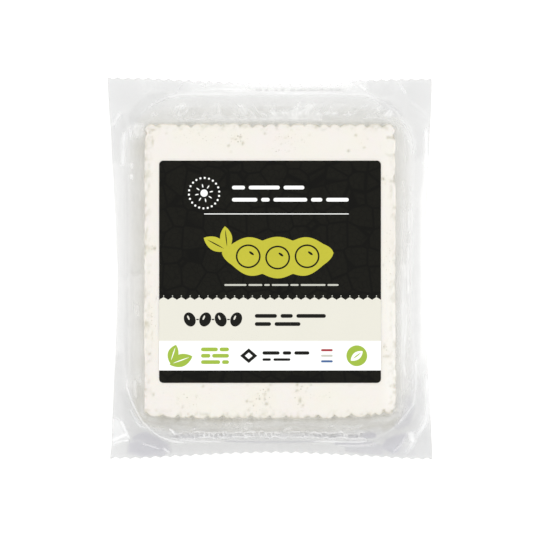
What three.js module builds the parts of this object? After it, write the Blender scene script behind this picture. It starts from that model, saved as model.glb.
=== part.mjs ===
// A vacuum-sealed tofu block: a pressed block in clear film, with a square
// paper label on its front face.  Millimetres, +Z up.
//
// The pack lies on its back.  The front face with the label looks up, and the
// top of the label points along +Y.  The origin is on the surface the pack
// rests on, at the middle of its outline.
//
//   sealed_pack   the film and the block inside it, as one closed body: a flat
//                 front, walls that fall in a curve to the formed pocket's rim,
//                 a thin welded flange around it, and a flat back
//   front_label   the square label that lies on the front face

import * as THREE from 'three';

// ---------------------------------------------------------------- the block
const BLOCK_W = 99.8;            // along X
const BLOCK_L = 116.2;           // along Y
const BLOCK_H = 21.0;            // front face above the resting face
const BLOCK_CX = 0.15;           // middle of the block, beside the origin
const BLOCK_CY = -0.6;
const BLOCK_CORNER_R = {         // upright edges of the block
  topRight: 3.2, topLeft: 3.2, bottomLeft: 1.8, bottomRight: 3.2,
};
const FOOT_BOW = 0.95;           // the -Y end bows outwards by this much
const FOOT_BOW_LEFT = 1.65;      // and falls back by this much at its left end
const FOOT_BOW_RIGHT = 2.0;      // and by this much at its right end
const BLOCK_EDGE_IN = 1.3;       // how far the rounded rim of a face reaches in
const BLOCK_EDGE_DROP = 1.4;     // and how far it reaches down
const FLUTE_DEPTH_BOTTOM = 0.7;  // press-cloth flutes on the two short sides
const FLUTE_DEPTH_TOP = 0.4;

// ------------------------------------------------- the formed pocket's rim
const RIM_X = 58.0;              // half width
const RIM_TOP = 69.4;            // +Y side
const RIM_BOTTOM = -69.2;        // -Y side
const RIM_R = 24.5;              // corner radius of the pocket
const RIM_CREST = 0.55;          // the fold line stands this proud of the flange

// ------------------------------------------------------- the welded flange
const FLANGE_Z = 9.3;            // mid-plane
const FLANGE_T = 0.5;            // both films, welded
const FLANGE_WAVE = 0.35;        // slow wave along the flange
const CORNERS = {                // cut corners, and how far each ear curls
  topRight: { x: 64.8, y: 76.1, curl: -1.3 },
  topLeft: { x: -64.7, y: 76.2, curl: 1.9 },
  bottomLeft: { x: -63.9, y: -76.2, curl: -1.1 },
  bottomRight: { x: 64.8, y: -76.2, curl: 1.5 },
};
const WAIST_LEFT = 3.5;          // each side is drawn in between its corners
const WAIST_RIGHT = 2.8;
const WAIST_TOP = 2.5;
const WAIST_BOTTOM = 2.45;
const SCALLOP = 0.31;            // half height of the wavy cut on the short sides

// --------------------------------------------------------------- the label
const LABEL_W = 87.4;
const LABEL_L = 87.6;
const LABEL_R = 1.6;
const LABEL_T = 0.3;
const LABEL_CX = 0.1;
const LABEL_CY = -1.3;

// ------------------------------------------------ how finely it is divided
const SEG_SHORT = 48;            // along each short side, between the corners
const SEG_LONG = 24;             // along each long side, between the corners
const SEG_CORNER = 16;           // around each corner
const WALL_FRONT = [0.05, 0.14, 0.30, 0.56];   // rings between block and rim
const WALL_BACK = [0.10, 0.32, 0.62];

// ------------------------------------------------------------------ helpers
const clamp01 = (x) => Math.min(1, Math.max(0, x));
const ease = (a, b, x) => { const t = clamp01((x - a) / (b - a)); return t * t * (3 - 2 * t); };
const mix = (a, b, t) => a + (b - a) * t;
// |s| with a rounded bottom: 0 at s = 0 and 1 at |s| = 1.
const softAbs = (s, e) => (Math.hypot(s, e) - e) / (Math.hypot(1, e) - e);

// How far the cut edge is drawn in from the straight line between its corners.
const inset = {
  top: (x) => WAIST_TOP * (x < 12
    ? 1 - softAbs((x - 12) / 62, 0.25)
    : 1 - 0.74 * ease(26, 34, x) - 0.26 * ease(34, 66, x)),
  bottom: (x) => WAIST_BOTTOM * (1 - softAbs((x - 1) / 56, 0.3)),
  left: (y) => WAIST_LEFT * (1 - softAbs((y + 4) / 78, 0.14)),
  right: (y) => WAIST_RIGHT * (1 - softAbs((y + 6) / (y < -6 ? 66 : 78), 0.3)),
};

// The perimeter is walked anticlockwise from the middle of the +X side's lower
// end.  Each entry says which side it is on and how far along.
const SIDES = ['right', 'top', 'left', 'bottom'];
const OUT = { right: [1, 0], top: [0, 1], left: [-1, 0], bottom: [0, -1] };
const SEGS = { right: SEG_LONG, top: SEG_SHORT, left: SEG_LONG, bottom: SEG_SHORT };
const CORNER_AFTER = { right: 'topRight', top: 'topLeft', left: 'bottomLeft', bottom: 'bottomRight' };
const CORNER_BEFORE = { right: 'bottomRight', top: 'topRight', left: 'topLeft', bottom: 'bottomLeft' };

// The middle of the arc of each upright edge.
const blockCorner = {};
for (const [key, sx, sy] of [['topRight', 1, 1], ['topLeft', -1, 1], ['bottomLeft', -1, -1], ['bottomRight', 1, -1]]) {
  const r = BLOCK_CORNER_R[key];
  blockCorner[key] = [BLOCK_CX + sx * (BLOCK_W / 2 - r), BLOCK_CY + sy * (BLOCK_L / 2 - r)];
}

// How far the block's -Y end bows out of its straight line.
function footBow(x) {
  const s = x / (BLOCK_W / 2);
  return FOOT_BOW - (s < 0 ? FOOT_BOW_LEFT * (-s) ** 6 : FOOT_BOW_RIGHT * s ** 3.2);
}

// A point on the cut edge: side, and t from 0 at its first corner to 1 at its last.
function edgePoint(side, t, scallopSign) {
  const a = CORNERS[CORNER_BEFORE[side]], b = CORNERS[CORNER_AFTER[side]];
  const x = mix(a.x, b.x, t), y = mix(a.y, b.y, t);
  const along = side === 'top' || side === 'bottom' ? x : y;
  let d = Math.max(0, inset[side](along)) * ease(0, 0.04, t) * ease(0, 0.04, 1 - t);
  if (side === 'top' || side === 'bottom') d += SCALLOP * (1 + scallopSign) * (t > 0.01 && t < 0.99 ? 1 : 0);
  const [nx, ny] = OUT[side];
  return [x - nx * d, y - ny * d];
}

// Signed distance to the pocket's rim: negative inside.
function rimDistance(x, y) {
  const cy = (RIM_TOP + RIM_BOTTOM) / 2, ry = (RIM_TOP - RIM_BOTTOM) / 2;
  const qx = Math.abs(x) - RIM_X + RIM_R, qy = Math.abs(y - cy) - ry + RIM_R;
  return Math.hypot(Math.max(qx, 0), Math.max(qy, 0)) + Math.min(Math.max(qx, qy), 0) - RIM_R;
}

// Where the straight line from the block to the cut edge meets the rim.
function rimOnLine(b, o) {
  let lo = 0, hi = 1;
  for (let i = 0; i < 40; i++) {
    const m = (lo + hi) / 2;
    if (rimDistance(mix(b[0], o[0], m), mix(b[1], o[1], m)) < 0) lo = m; else hi = m;
  }
  return [mix(b[0], o[0], lo), mix(b[1], o[1], lo)];
}

// One record for each step of the walk: the block's edge, its outward
// direction, the rim, the cut edge, and how near a corner the step is.
const walk = [];
for (const side of SIDES) {
  const n = SEGS[side], half = SEG_CORNER / 2, total = n + SEG_CORNER;
  const a = blockCorner[CORNER_BEFORE[side]], b = blockCorner[CORNER_AFTER[side]];
  const ra = BLOCK_CORNER_R[CORNER_BEFORE[side]], rb = BLOCK_CORNER_R[CORNER_AFTER[side]];
  const [nx, ny] = OUT[side];
  const depth = side === 'bottom' ? FLUTE_DEPTH_BOTTOM : side === 'top' ? FLUTE_DEPTH_TOP : 0;
  for (let i = 0; i < total; i++) {
    let p, dir;
    if (i <= n) {                                   // along the side
      const flute = depth * (i % 3 === 1 && i > 1 && i < n - 1 ? 1 : 0);
      p = [mix(a[0] + nx * ra, b[0] + nx * rb, i / n) - nx * flute, mix(a[1] + ny * ra, b[1] + ny * rb, i / n) - ny * flute];
      dir = [nx, ny];
    } else {                                        // around the next corner
      const ang = (i - n) / SEG_CORNER * Math.PI / 2;
      dir = [nx * Math.cos(ang) - ny * Math.sin(ang), nx * Math.sin(ang) + ny * Math.cos(ang)];
      p = [b[0] + rb * dir[0], b[1] + rb * dir[1]];
    }
    p[1] -= footBow(p[0]) * Math.max(0, -dir[1]);
    // On the cut edge a side owns the second half of the corner before it and
    // the first half of the corner after it.
    let owner = side, j = i + half;
    if (j > total) { owner = SIDES[(SIDES.indexOf(side) + 1) % 4]; j -= total; }
    const t = j / (SEGS[owner] + SEG_CORNER);
    const o = edgePoint(owner, t, j % 2 ? 1 : -1);
    const corner = CORNERS[t > 0.5 ? CORNER_AFTER[owner] : CORNER_BEFORE[owner]];
    const ear = Math.exp(-(((o[0] - corner.x) ** 2 + (o[1] - corner.y) ** 2) / (2 * 9 ** 2)));
    walk.push({ b: p, dir, o, rim: rimOnLine(p, o), curl: corner.curl * ear });
  }
}
const N = walk.length;

// Mid-plane of the flange at a point of the plan.
const flangeZ = (x, y) => FLANGE_Z
  + FLANGE_WAVE * Math.sin(0.062 * x + 1.1) * Math.cos(0.041 * y - 0.4)
  + 0.12 * Math.sin(0.19 * x - 0.13 * y);

// ------------------------------------------------- the rings of the sealed pack
const rings = [];
const ring = (f) => rings.push(walk.map(f));
const shrunk = (w, d) => [w.b[0] - w.dir[0] * d, w.b[1] - w.dir[1] * d];
const bandWidth = (w) => Math.hypot(w.rim[0] - w.b[0], w.rim[1] - w.b[1]);
const fall = (w, t) => (1 - t) ** (2.1 + 0.11 * Math.max(0, bandWidth(w) - 8));

// front face, out to the block's rounded edge
ring((w) => [...shrunk(w, BLOCK_EDGE_IN), BLOCK_H]);
ring((w) => [...shrunk(w, BLOCK_EDGE_IN * 0.3), BLOCK_H - BLOCK_EDGE_DROP * 0.3]);
ring((w) => [...w.b, BLOCK_H - BLOCK_EDGE_DROP]);
// front film, down to the rim
for (const t of WALL_FRONT) ring((w) => {
  const x = mix(w.b[0], w.rim[0], t), y = mix(w.b[1], w.rim[1], t), z = flangeZ(w.rim[0], w.rim[1]) + FLANGE_T / 2;
  return [x, y, mix(z, BLOCK_H - BLOCK_EDGE_DROP, fall(w, t))];
});
ring((w) => [...w.rim, flangeZ(...w.rim) + FLANGE_T / 2 + RIM_CREST]);
// flange, out to the cut edge and back underneath
const flangeAt = (w, t, side) => {
  const x = mix(w.rim[0], w.o[0], t), y = mix(w.rim[1], w.o[1], t);
  return [x, y, flangeZ(x, y) + w.curl * t * t + side * FLANGE_T / 2];
};
ring((w) => flangeAt(w, 0.22, 1));
ring((w) => flangeAt(w, 0.6, 1));
ring((w) => flangeAt(w, 1, 1));
ring((w) => flangeAt(w, 1, -1));
ring((w) => flangeAt(w, 0.6, -1));
ring((w) => flangeAt(w, 0, -1));
// back film, down to the resting face
for (const t of [...WALL_BACK].reverse()) ring((w) => {
  const x = mix(w.b[0], w.rim[0], t), y = mix(w.b[1], w.rim[1], t), z = flangeZ(w.rim[0], w.rim[1]) - FLANGE_T / 2;
  return [x, y, mix(z, BLOCK_EDGE_DROP, fall(w, t))];
});
ring((w) => [...w.b, BLOCK_EDGE_DROP]);
ring((w) => [...shrunk(w, BLOCK_EDGE_IN * 0.3), BLOCK_EDGE_DROP * 0.3]);
ring((w) => [...shrunk(w, BLOCK_EDGE_IN), 0]);

function lofted(list, firstZ, lastZ) {
  const pos = [], idx = [];
  for (const rg of list) for (const p of rg) pos.push(...p);
  for (let j = 0; j + 1 < list.length; j++) {
    for (let k = 0; k < N; k++) {
      const a = j * N + k, b = j * N + (k + 1) % N, c = a + N, d = b + N;
      idx.push(a, c, b, b, c, d);
    }
  }
  const first = pos.length / 3, last = first + 1, end = (list.length - 1) * N;
  pos.push(BLOCK_CX, BLOCK_CY, firstZ, BLOCK_CX, BLOCK_CY, lastZ);
  for (let k = 0; k < N; k++) {
    idx.push(first, k, (k + 1) % N);
    idx.push(last, end + (k + 1) % N, end + k);
  }
  const g = new THREE.BufferGeometry();
  g.setAttribute('position', new THREE.Float32BufferAttribute(pos, 3));
  g.setIndex(idx);
  g.computeVertexNormals();
  return g;
}

const pack = new THREE.Mesh(
  lofted(rings, BLOCK_H, 0),
  new THREE.MeshStandardMaterial({ color: 0xf4efe4, roughness: 0.3, metalness: 0 }),
);
pack.name = 'sealed_pack';

// ------------------------------------------------------------------ the label
function roundedSquare(w, l, rad) {
  const s = new THREE.Shape(), x = w / 2, y = l / 2;
  s.moveTo(-x + rad, -y);
  s.lineTo(x - rad, -y);
  s.absarc(x - rad, -y + rad, rad, -Math.PI / 2, 0, false);
  s.lineTo(x, y - rad);
  s.absarc(x - rad, y - rad, rad, 0, Math.PI / 2, false);
  s.lineTo(-x + rad, y);
  s.absarc(-x + rad, y - rad, rad, Math.PI / 2, Math.PI, false);
  s.lineTo(-x, -y + rad);
  s.absarc(-x + rad, -y + rad, rad, Math.PI, Math.PI * 1.5, false);
  return s;
}

const label = new THREE.Mesh(
  new THREE.ExtrudeGeometry(roundedSquare(LABEL_W, LABEL_L, LABEL_R), {
    depth: LABEL_T, bevelEnabled: false, curveSegments: 8,
  }),
  new THREE.MeshStandardMaterial({ color: 0x1d1915, roughness: 0.5, metalness: 0 }),
);
label.name = 'front_label';
label.position.set(LABEL_CX, LABEL_CY, BLOCK_H);

const tofuPack = new THREE.Group();
tofuPack.add(pack, label);

export default tofuPack;
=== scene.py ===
"""Looks for the vacuum-packed tofu block: the pressed block, the clear film
that is drawn round it, and the printed label on its face."""

import math

import bpy
import numpy as np
from mathutils.geometry import delaunay_2d_cdt
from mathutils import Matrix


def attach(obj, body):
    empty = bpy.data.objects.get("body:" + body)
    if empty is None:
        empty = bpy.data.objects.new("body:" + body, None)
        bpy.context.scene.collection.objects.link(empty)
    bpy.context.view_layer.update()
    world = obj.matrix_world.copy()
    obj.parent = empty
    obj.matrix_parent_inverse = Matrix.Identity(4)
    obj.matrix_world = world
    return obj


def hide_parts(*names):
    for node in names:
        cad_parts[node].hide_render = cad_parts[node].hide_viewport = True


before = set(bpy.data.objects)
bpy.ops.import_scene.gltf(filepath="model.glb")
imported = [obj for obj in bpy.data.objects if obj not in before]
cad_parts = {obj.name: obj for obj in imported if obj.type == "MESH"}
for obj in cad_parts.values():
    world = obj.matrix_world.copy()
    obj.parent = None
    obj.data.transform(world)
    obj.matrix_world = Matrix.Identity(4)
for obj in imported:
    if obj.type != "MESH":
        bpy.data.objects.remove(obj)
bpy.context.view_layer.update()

MM = 0.001

# ------------------------------------------------------------- named sizes, mm
# They repeat the CAD model's.
BLOCK_W, BLOCK_L, BLOCK_H = 99.8, 116.2, 21.0
BLOCK_CX, BLOCK_CY = 0.15, -0.6
BLOCK_R = {"tr": 3.2, "tl": 3.2, "bl": 1.8, "br": 3.2}
RIM_X, RIM_TOP, RIM_BOTTOM, RIM_R = 58.0, 69.4, -69.2, 24.5
FLANGE_Z = 9.3
CORNERS = {
    "tr": (64.8, 76.1, -1.3),
    "tl": (-64.7, 76.2, 1.9),
    "bl": (-63.9, -76.2, -1.1),
    "br": (64.8, -76.2, 1.5),
}
WAIST = {"top": 2.5, "bottom": 2.45, "left": 3.5, "right": 2.8}
SCALLOPS = 32
SCALLOP = 0.31
LABEL_W, LABEL_L, LABEL_R = 87.4, 87.6, 1.6
LABEL_CX, LABEL_CY = 0.1, -1.3


# ------------------------------------------------------------------- small maths
def clamp01(x):
    return np.clip(x, 0.0, 1.0)


def ease(a, b, x):
    t = clamp01((np.asarray(x, float) - a) / (b - a))
    return t * t * (3 - 2 * t)


def mix(a, b, t):
    return a + (b - a) * t


def soft_abs(s, e):
    return (np.hypot(s, e) - e) / (math.hypot(1, e) - e)


def _hash(ix, iy, seed):
    h = (
        ix.astype(np.int64) * 374761393
        + iy.astype(np.int64) * 668265263
        + int(seed) * 2246822519
    ) & 0xFFFFFFFF
    h = ((h ^ (h >> 13)) * 1274126177) & 0xFFFFFFFF
    h = ((h ^ (h >> 15)) * 2246822519) & 0xFFFFFFFF
    h = h ^ (h >> 16)
    return h.astype(float) / 4294967295.0


def noise(x, y, seed=0, wrap=None):
    """Smooth value noise from 0 to 1. wrap is a whole number of cells along x."""
    x, y = np.broadcast_arrays(np.asarray(x, float), np.asarray(y, float))
    ix, iy = np.floor(x), np.floor(y)
    fx, fy = x - ix, y - iy
    ux = fx**3 * (fx * (fx * 6 - 15) + 10)
    uy = fy**3 * (fy * (fy * 6 - 15) + 10)
    x0, x1 = ix, ix + 1
    if wrap:
        x0, x1 = np.mod(x0, wrap), np.mod(x1, wrap)
    a, b = _hash(x0, iy, seed), _hash(x1, iy, seed)
    c, d = _hash(x0, iy + 1, seed), _hash(x1, iy + 1, seed)
    return mix(mix(a, b, ux), mix(c, d, ux), uy)


def fbm(x, y, seed=0, octaves=3, wrap=None):
    total, amp, norm = 0.0, 1.0, 0.0
    for o in range(octaves):
        k = 2**o
        total = total + amp * noise(
            np.asarray(x) * k, np.asarray(y) * k, seed + 17 * o, wrap * k if wrap else None
        )
        norm += amp
        amp *= 0.5
    return total / norm


def crest(n, sharp=1.6):
    """Turns smooth noise into narrow crests: 1 where n is 0.5, falling away."""
    return np.clip(1 - np.abs(2 * n - 1) * 1.6, 0, 1) ** sharp


# ------------------------------------------------------------------ mesh helpers
def make_mesh(name, verts_mm, faces, smooth=True):
    """faces is a list of integer arrays, each (count, corners)."""
    me = bpy.data.meshes.new(name)
    v = np.ascontiguousarray(np.asarray(verts_mm, float) * MM, dtype=np.float32)
    me.vertices.add(len(v))
    me.vertices.foreach_set("co", v.ravel())
    loops = np.concatenate([np.asarray(f, np.int32).ravel() for f in faces])
    sizes = np.concatenate([np.full(len(f), f.shape[1], np.int32) for f in faces])
    starts = np.concatenate([[0], np.cumsum(sizes)[:-1]]).astype(np.int32)
    me.loops.add(len(loops))
    me.loops.foreach_set("vertex_index", loops)
    me.polygons.add(len(sizes))
    me.polygons.foreach_set("loop_start", starts)
    me.polygons.foreach_set("loop_total", sizes)
    me.polygons.foreach_set("use_smooth", np.full(len(sizes), smooth))
    me.update(calc_edges=True)
    me.validate()
    ob = bpy.data.objects.new(name, me)
    bpy.context.scene.collection.objects.link(ob)
    return ob


def point_attribute(ob, name, values):
    a = ob.data.attributes.new(name, "FLOAT", "POINT")
    a.data.foreach_set("value", np.ascontiguousarray(values, dtype=np.float32))


# ---------------------------------------------------- outline of the sealed pack
OUT = {"right": (1, 0), "top": (0, 1), "left": (-1, 0), "bottom": (0, -1)}
SIDES = ["right", "top", "left", "bottom"]
BEFORE = {"right": "br", "top": "tr", "left": "tl", "bottom": "bl"}
AFTER = {"right": "tr", "top": "tl", "left": "bl", "bottom": "br"}
BLOCK_CORNER = {  # the middles of the corners' arcs
    key: (BLOCK_CX + sx * (BLOCK_W / 2 - BLOCK_R[key]), BLOCK_CY + sy * (BLOCK_L / 2 - BLOCK_R[key]))
    for key, sx, sy in (("tr", 1, 1), ("tl", -1, 1), ("bl", -1, -1), ("br", 1, -1))
}


def inset(side, along):
    if side == "top":
        left = 1 - soft_abs((along - 12) / 62, 0.25)
        right = 1 - 0.74 * ease(26, 34, along) - 0.26 * ease(34, 66, along)
        return WAIST["top"] * np.where(along < 12, left, right)
    if side == "bottom":
        return WAIST["bottom"] * (1 - soft_abs((along - 1) / 56, 0.3))
    if side == "left":
        return WAIST["left"] * (1 - soft_abs((along + 4) / 78, 0.14))
    return WAIST["right"] * (1 - soft_abs((along + 6) / np.where(along < -6, 66, 78), 0.3))


def cut_edge(side, t):
    """Points of the cut edge, for t from 0 to 1 along a side, without its waves."""
    a, b = CORNERS[BEFORE[side]], CORNERS[AFTER[side]]
    x, y = mix(a[0], b[0], t), mix(a[1], b[1], t)
    along = x if side in ("top", "bottom") else y
    d = np.maximum(0, inset(side, along)) * ease(0, 0.04, t) * ease(0, 0.04, 1 - t)
    if side in ("top", "bottom"):
        wave = 0.5 - 0.5 * np.cos(2 * np.pi * SCALLOPS * t)
        d = d + 2 * SCALLOP * wave**0.8 * ease(0.0, 0.015, t) * ease(0.0, 0.015, 1 - t)
    else:
        d = d + 0.25 * (noise(along / 9.0, 3.0, 5) - 0.5) * ease(0, 0.1, t) * ease(0, 0.1, 1 - t)
    return x - OUT[side][0] * d, y - OUT[side][1] * d


def foot_bow(x):
    """How far the block's lower edge bows out of its straight line."""
    x = np.asarray(x, float) / (BLOCK_W / 2)
    left = 0.95 - 1.65 * np.abs(np.minimum(x, 0)) ** 6
    right = 0.95 - 2.0 * np.maximum(x, 0) ** 3.2
    return np.where(x < 0, left, right)


def rim_distance(x, y):
    cy, ry = (RIM_TOP + RIM_BOTTOM) / 2, (RIM_TOP - RIM_BOTTOM) / 2
    qx, qy = np.abs(x) - RIM_X + RIM_R, np.abs(y - cy) - ry + RIM_R
    return (
        np.hypot(np.maximum(qx, 0), np.maximum(qy, 0))
        + np.minimum(np.maximum(qx, qy), 0)
        - RIM_R
    )


class Walk:
    """The perimeter, anticlockwise: block edge, its outward direction, rim and
    cut edge for each step."""

    def __init__(self, short, long, corner):
        bx, by, dx, dy, ox, oy, turn = [], [], [], [], [], [], []
        half = corner // 2
        for si, side in enumerate(SIDES):
            n = short if side in ("top", "bottom") else long
            total = n + corner
            a, b = BLOCK_CORNER[BEFORE[side]], BLOCK_CORNER[AFTER[side]]
            ra, rb = BLOCK_R[BEFORE[side]], BLOCK_R[AFTER[side]]
            nx, ny = OUT[side]
            for i in range(total):
                if i <= n:
                    d = (nx, ny)
                    p = (mix(a[0] + nx * ra, b[0] + nx * rb, i / n), mix(a[1] + ny * ra, b[1] + ny * rb, i / n))
                    turn.append(0.0)
                else:
                    ang = (i - n) / corner * math.pi / 2
                    d = (
                        nx * math.cos(ang) - ny * math.sin(ang),
                        nx * math.sin(ang) + ny * math.cos(ang),
                    )
                    p = (b[0] + rb * d[0], b[1] + rb * d[1])
                    turn.append(math.sin(2 * ang))
                p = (p[0], p[1] - float(foot_bow(p[0])) * max(0.0, -d[1]))
                owner, j = side, i + half
                if j > total:
                    owner = SIDES[(si + 1) % 4]
                    j -= total
                m = (short if owner in ("top", "bottom") else long) + corner
                o = cut_edge(owner, np.float64(j / m))
                bx.append(p[0]), by.append(p[1]), dx.append(d[0]), dy.append(d[1])
                ox.append(float(o[0])), oy.append(float(o[1]))
        self.b = np.array([bx, by])
        self.d = np.array([dx, dy])
        self.o = np.array([ox, oy])
        self.turn = np.array(turn)
        self.n = len(bx)
        lo, hi = np.zeros(self.n), np.ones(self.n)
        for _ in range(40):
            m = (lo + hi) / 2
            q = self.b + (self.o - self.b) * m
            inside = rim_distance(q[0], q[1]) < 0
            lo, hi = np.where(inside, m, lo), np.where(inside, hi, m)
        self.r = self.b + (self.o - self.b) * lo
        band = self.r - self.b
        self.width = np.hypot(*band)
        self.e = band / self.width
        # arc length along the rim
        step = np.hypot(*(np.roll(self.r, -1, axis=1) - self.r))
        self.length = float(step.sum())
        self.s = np.concatenate([[0], np.cumsum(step)[:-1]])


def flange_z(x, y):
    return (
        FLANGE_Z
        + 0.35 * np.sin(0.062 * x + 1.1) * np.cos(0.041 * y - 0.4)
        + 0.12 * np.sin(0.19 * x - 0.13 * y)
    )


# ------------------------------------------------------- the block's ragged edges
def notch_places():
    """Where the press cloth's flutes bite into each side: place along the side,
    depth and half width."""
    rng = np.random.default_rng(41)
    places = {"top": [], "bottom": [], "left": [], "right": []}
    # nearly regular flutes along the two cut ends
    for x in (-48.3, -41.9, -36.5, -30.6, -24.3, -18.7, -12.8, -7.4, 0.1, 6.2, 14.9, 19.3, 25.6, 31.9, 38.6, 41.9, 45.5):
        places["bottom"].append((x, rng.uniform(0.85, 1.25), rng.uniform(0.7, 1.2)))
    for x in (-44.9, -39.6, -33.0, -27.6, -21.4, -15.6, -3.4, 8.0, 16.9, 28.4, 35.6):
        places["bottom"].append((x, rng.uniform(0.1, 0.55), rng.uniform(0.4, 0.8)))
    for x in (-44.6, -35.7, -31.4, -22.9, -19.1, -12.0, -7.2, -1.9, 2.8, 8.0, 13.5, 19.8, 23.4, 27.5, 33.8, 38.6, 44.5):
        places["top"].append((x, rng.uniform(0.8, 1.5), rng.uniform(0.6, 1.05)))
    for x in (-40.0, -27.2, -15.7, 5.4, 16.6, 30.6, 41.2):
        places["top"].append((x, rng.uniform(0.15, 0.45), rng.uniform(0.4, 0.7)))
    for side in ("left", "right"):
        y = -54.0
        while y < 52.0:
            places[side].append((y, rng.uniform(0.05, 0.30), rng.uniform(0.5, 1.1)))
            y += rng.uniform(2.2, 6.5)
    places["right"] += [(52.6, 1.4, 0.9), (45.2, 0.5, 0.8), (35.8, 1.1, 2.2), (1.4, 0.5, 1.2), (-35.4, 0.4, 0.7), (-46.4, 0.6, 0.8)]
    places["left"] += [(8.0, 0.5, 0.7), (53.0, 1.0, 1.3), (-21.5, 0.4, 0.6)]
    return places


NOTCHES = notch_places()


def bite(side, along, z=10.0, wide=1.0):
    """How deep the notches of one side reach at a place along it."""
    along = np.asarray(along, float)
    total = np.zeros(np.broadcast(along, np.asarray(z)).shape)
    for k, (c, depth, w) in enumerate(NOTCHES[side]):
        shift = 0.3 * np.sin(np.asarray(z) * 0.21 + k * 1.7)
        d = np.abs(along - c - shift) / (w * wide)
        total = np.maximum(total, depth * np.exp(-(d**1.4)))
    return total


def side_weights(x, y, reach):
    """How near a point of the plan is to each side of the block, 1 at the side."""
    lx, rx = BLOCK_CX - BLOCK_W / 2, BLOCK_CX + BLOCK_W / 2
    by, ty = BLOCK_CY - BLOCK_L / 2, BLOCK_CY + BLOCK_L / 2
    f = lambda d: np.clip(1 - d / reach, 0, 1) ** 1.4
    return {"left": f(x - lx), "right": f(rx - x), "bottom": f(y - by), "top": f(ty - y)}


# ------------------------------------------------------------------ the tofu block
# Where the faces have groups of small pores: middle, how many, spread in X and Y.
PORE_GROUPS = (
    (-12.4, 51.3, 7, 2.2, 1.4), (6.4, 51.4, 4, 4.0, 1.2), (35.6, 51.0, 3, 2.0, 1.6),
    (-5.6, -52.4, 8, 2.6, 3.0), (-1.6, -49.6, 6, 1.4, 3.2), (11.6, -50.2, 9, 1.4, 3.2),
    (-45.8, 52.0, 4, 1.4, 1.6), (-47.0, 8.1, 4, 1.2, 2.4), (45.8, 35.0, 4, 1.6, 1.2),
    (45.4, -32.6, 4, 1.2, 2.4), (-33.0, -51.8, 5, 4.0, 2.4), (22.0, -50.0, 3, 3.0, 2.0),
    (-28.0, 51.5, 3, 9.0, 2.0), (-46.5, -20.0, 4, 0.8, 9.0), (46.8, 5.0, 4, 0.8, 12.0),
)
PITS = (  # single pits: middle, half sizes in X and Y, depth
    (-15.0, 51.2, 0.55, 0.30, 0.30), (-13.4, 51.0, 0.50, 0.30, 0.40), (-11.6, 51.9, 0.50, 0.40, 0.55),
    (-10.7, 49.4, 0.45, 0.70, 0.50), (-16.3, 48.5, 0.45, 0.45, 0.55), (-15.3, 46.0, 0.35, 0.35, 0.28),
    (-1.9, 53.2, 0.45, 0.45, 0.40), (6.2, 51.5, 0.70, 0.35, 0.22), (31.0, 46.4, 0.50, 0.45, 0.55),
    (33.9, 52.6, 0.50, 0.40, 0.55), (37.2, 47.7, 0.55, 0.40, 0.32), (15.6, 52.6, 0.45, 0.30, 0.26),
    (12.7, 50.7, 0.35, 0.35, 0.22), (8.5, 48.9, 0.40, 0.30, 0.24), (7.5, 46.3, 0.35, 0.30, 0.26),
    (-40.8, 53.2, 0.45, 0.40, 0.24), (-28.1, 53.4, 0.40, 0.35, 0.22), (38.5, 51.1, 0.35, 0.35, 0.20),
    (-46.2, 50.0, 0.40, 1.20, 0.42), (-46.0, 54.6, 0.95, 0.35, 0.40), (-47.4, 53.6, 0.45, 0.45, 0.35),
    (-45.4, 7.8, 0.55, 0.30, 0.50), (-47.7, 7.3, 0.50, 0.40, 0.28), (-48.5, 15.0, 0.40, 0.80, 0.40),
    (-48.9, 12.6, 0.35, 1.60, 0.42), (-49.2, 6.2, 0.30, 1.40, 0.26), (-49.0, -16.4, 0.60, 0.50, 0.40),
    (-48.7, -21.6, 0.90, 0.45, 0.42), (-49.2, -24.6, 0.40, 0.70, 0.26), (-46.9, -18.6, 0.30, 0.30, 0.24),
    (-46.6, -26.3, 0.25, 0.60, 0.24), (-48.8, -10.6, 0.40, 0.60, 0.20),
    (-47.3, -33.6, 0.50, 0.40, 0.35), (-45.8, -49.7, 0.35, 0.60, 0.45), (-44.8, -11.7, 0.25, 0.70, 0.22),
    (45.2, -30.7, 0.35, 0.75, 0.42), (45.9, -34.5, 1.25, 0.32, 0.36), (46.7, 28.2, 0.45, 0.45, 0.24),
    (44.7, 1.3, 0.35, 0.45, 0.22), (47.2, -7.4, 0.40, 0.35, 0.22), (44.9, -56.0, 0.50, 0.45, 0.45),
    (11.9, -52.0, 0.50, 1.00, 0.55), (10.6, -48.2, 0.45, 0.45, 0.50), (13.0, -54.0, 0.45, 0.50, 0.36),
    (-0.6, -47.8, 0.45, 0.60, 0.42), (-1.9, -49.6, 0.45, 0.80, 0.38), (-2.1, -51.5, 0.40, 0.60, 0.38),
    (-1.3, -53.4, 0.60, 0.55, 0.55), (-9.0, -52.3, 0.50, 0.50, 0.50), (-7.2, -52.6, 0.60, 0.30, 0.30),
    (-8.3, -55.8, 0.60, 0.55, 0.26), (-4.2, -51.2, 0.50, 0.35, 0.38), (-6.2, -53.7, 0.40, 0.35, 0.24),
    (-4.8, -49.4, 0.40, 0.25, 0.26), (14.3, -48.6, 0.30, 0.30, 0.26), (0.5, -55.2, 0.30, 0.30, 0.26),
    (-26.3, -46.4, 0.45, 0.50, 0.36), (-34.4, -54.7, 0.45, 0.35, 0.38), (-28.9, -50.2, 0.40, 0.40, 0.22),
    (-36.3, -51.6, 0.35, 0.35, 0.24), (10.8, -45.8, 0.50, 0.55, 0.50), (12.6, -46.6, 0.45, 0.35, 0.34),
    (16.2, -45.9, 0.45, 0.35, 0.34), (14.8, -47.2, 0.35, 0.30, 0.28), (0.2, -45.9, 0.60, 0.40, 0.30),
    (-8.8, -46.0, 0.35, 0.35, 0.24), (-23.4, -47.6, 0.35, 0.30, 0.22), (31.8, -46.2, 1.20, 0.30, 0.16),
)
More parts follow.
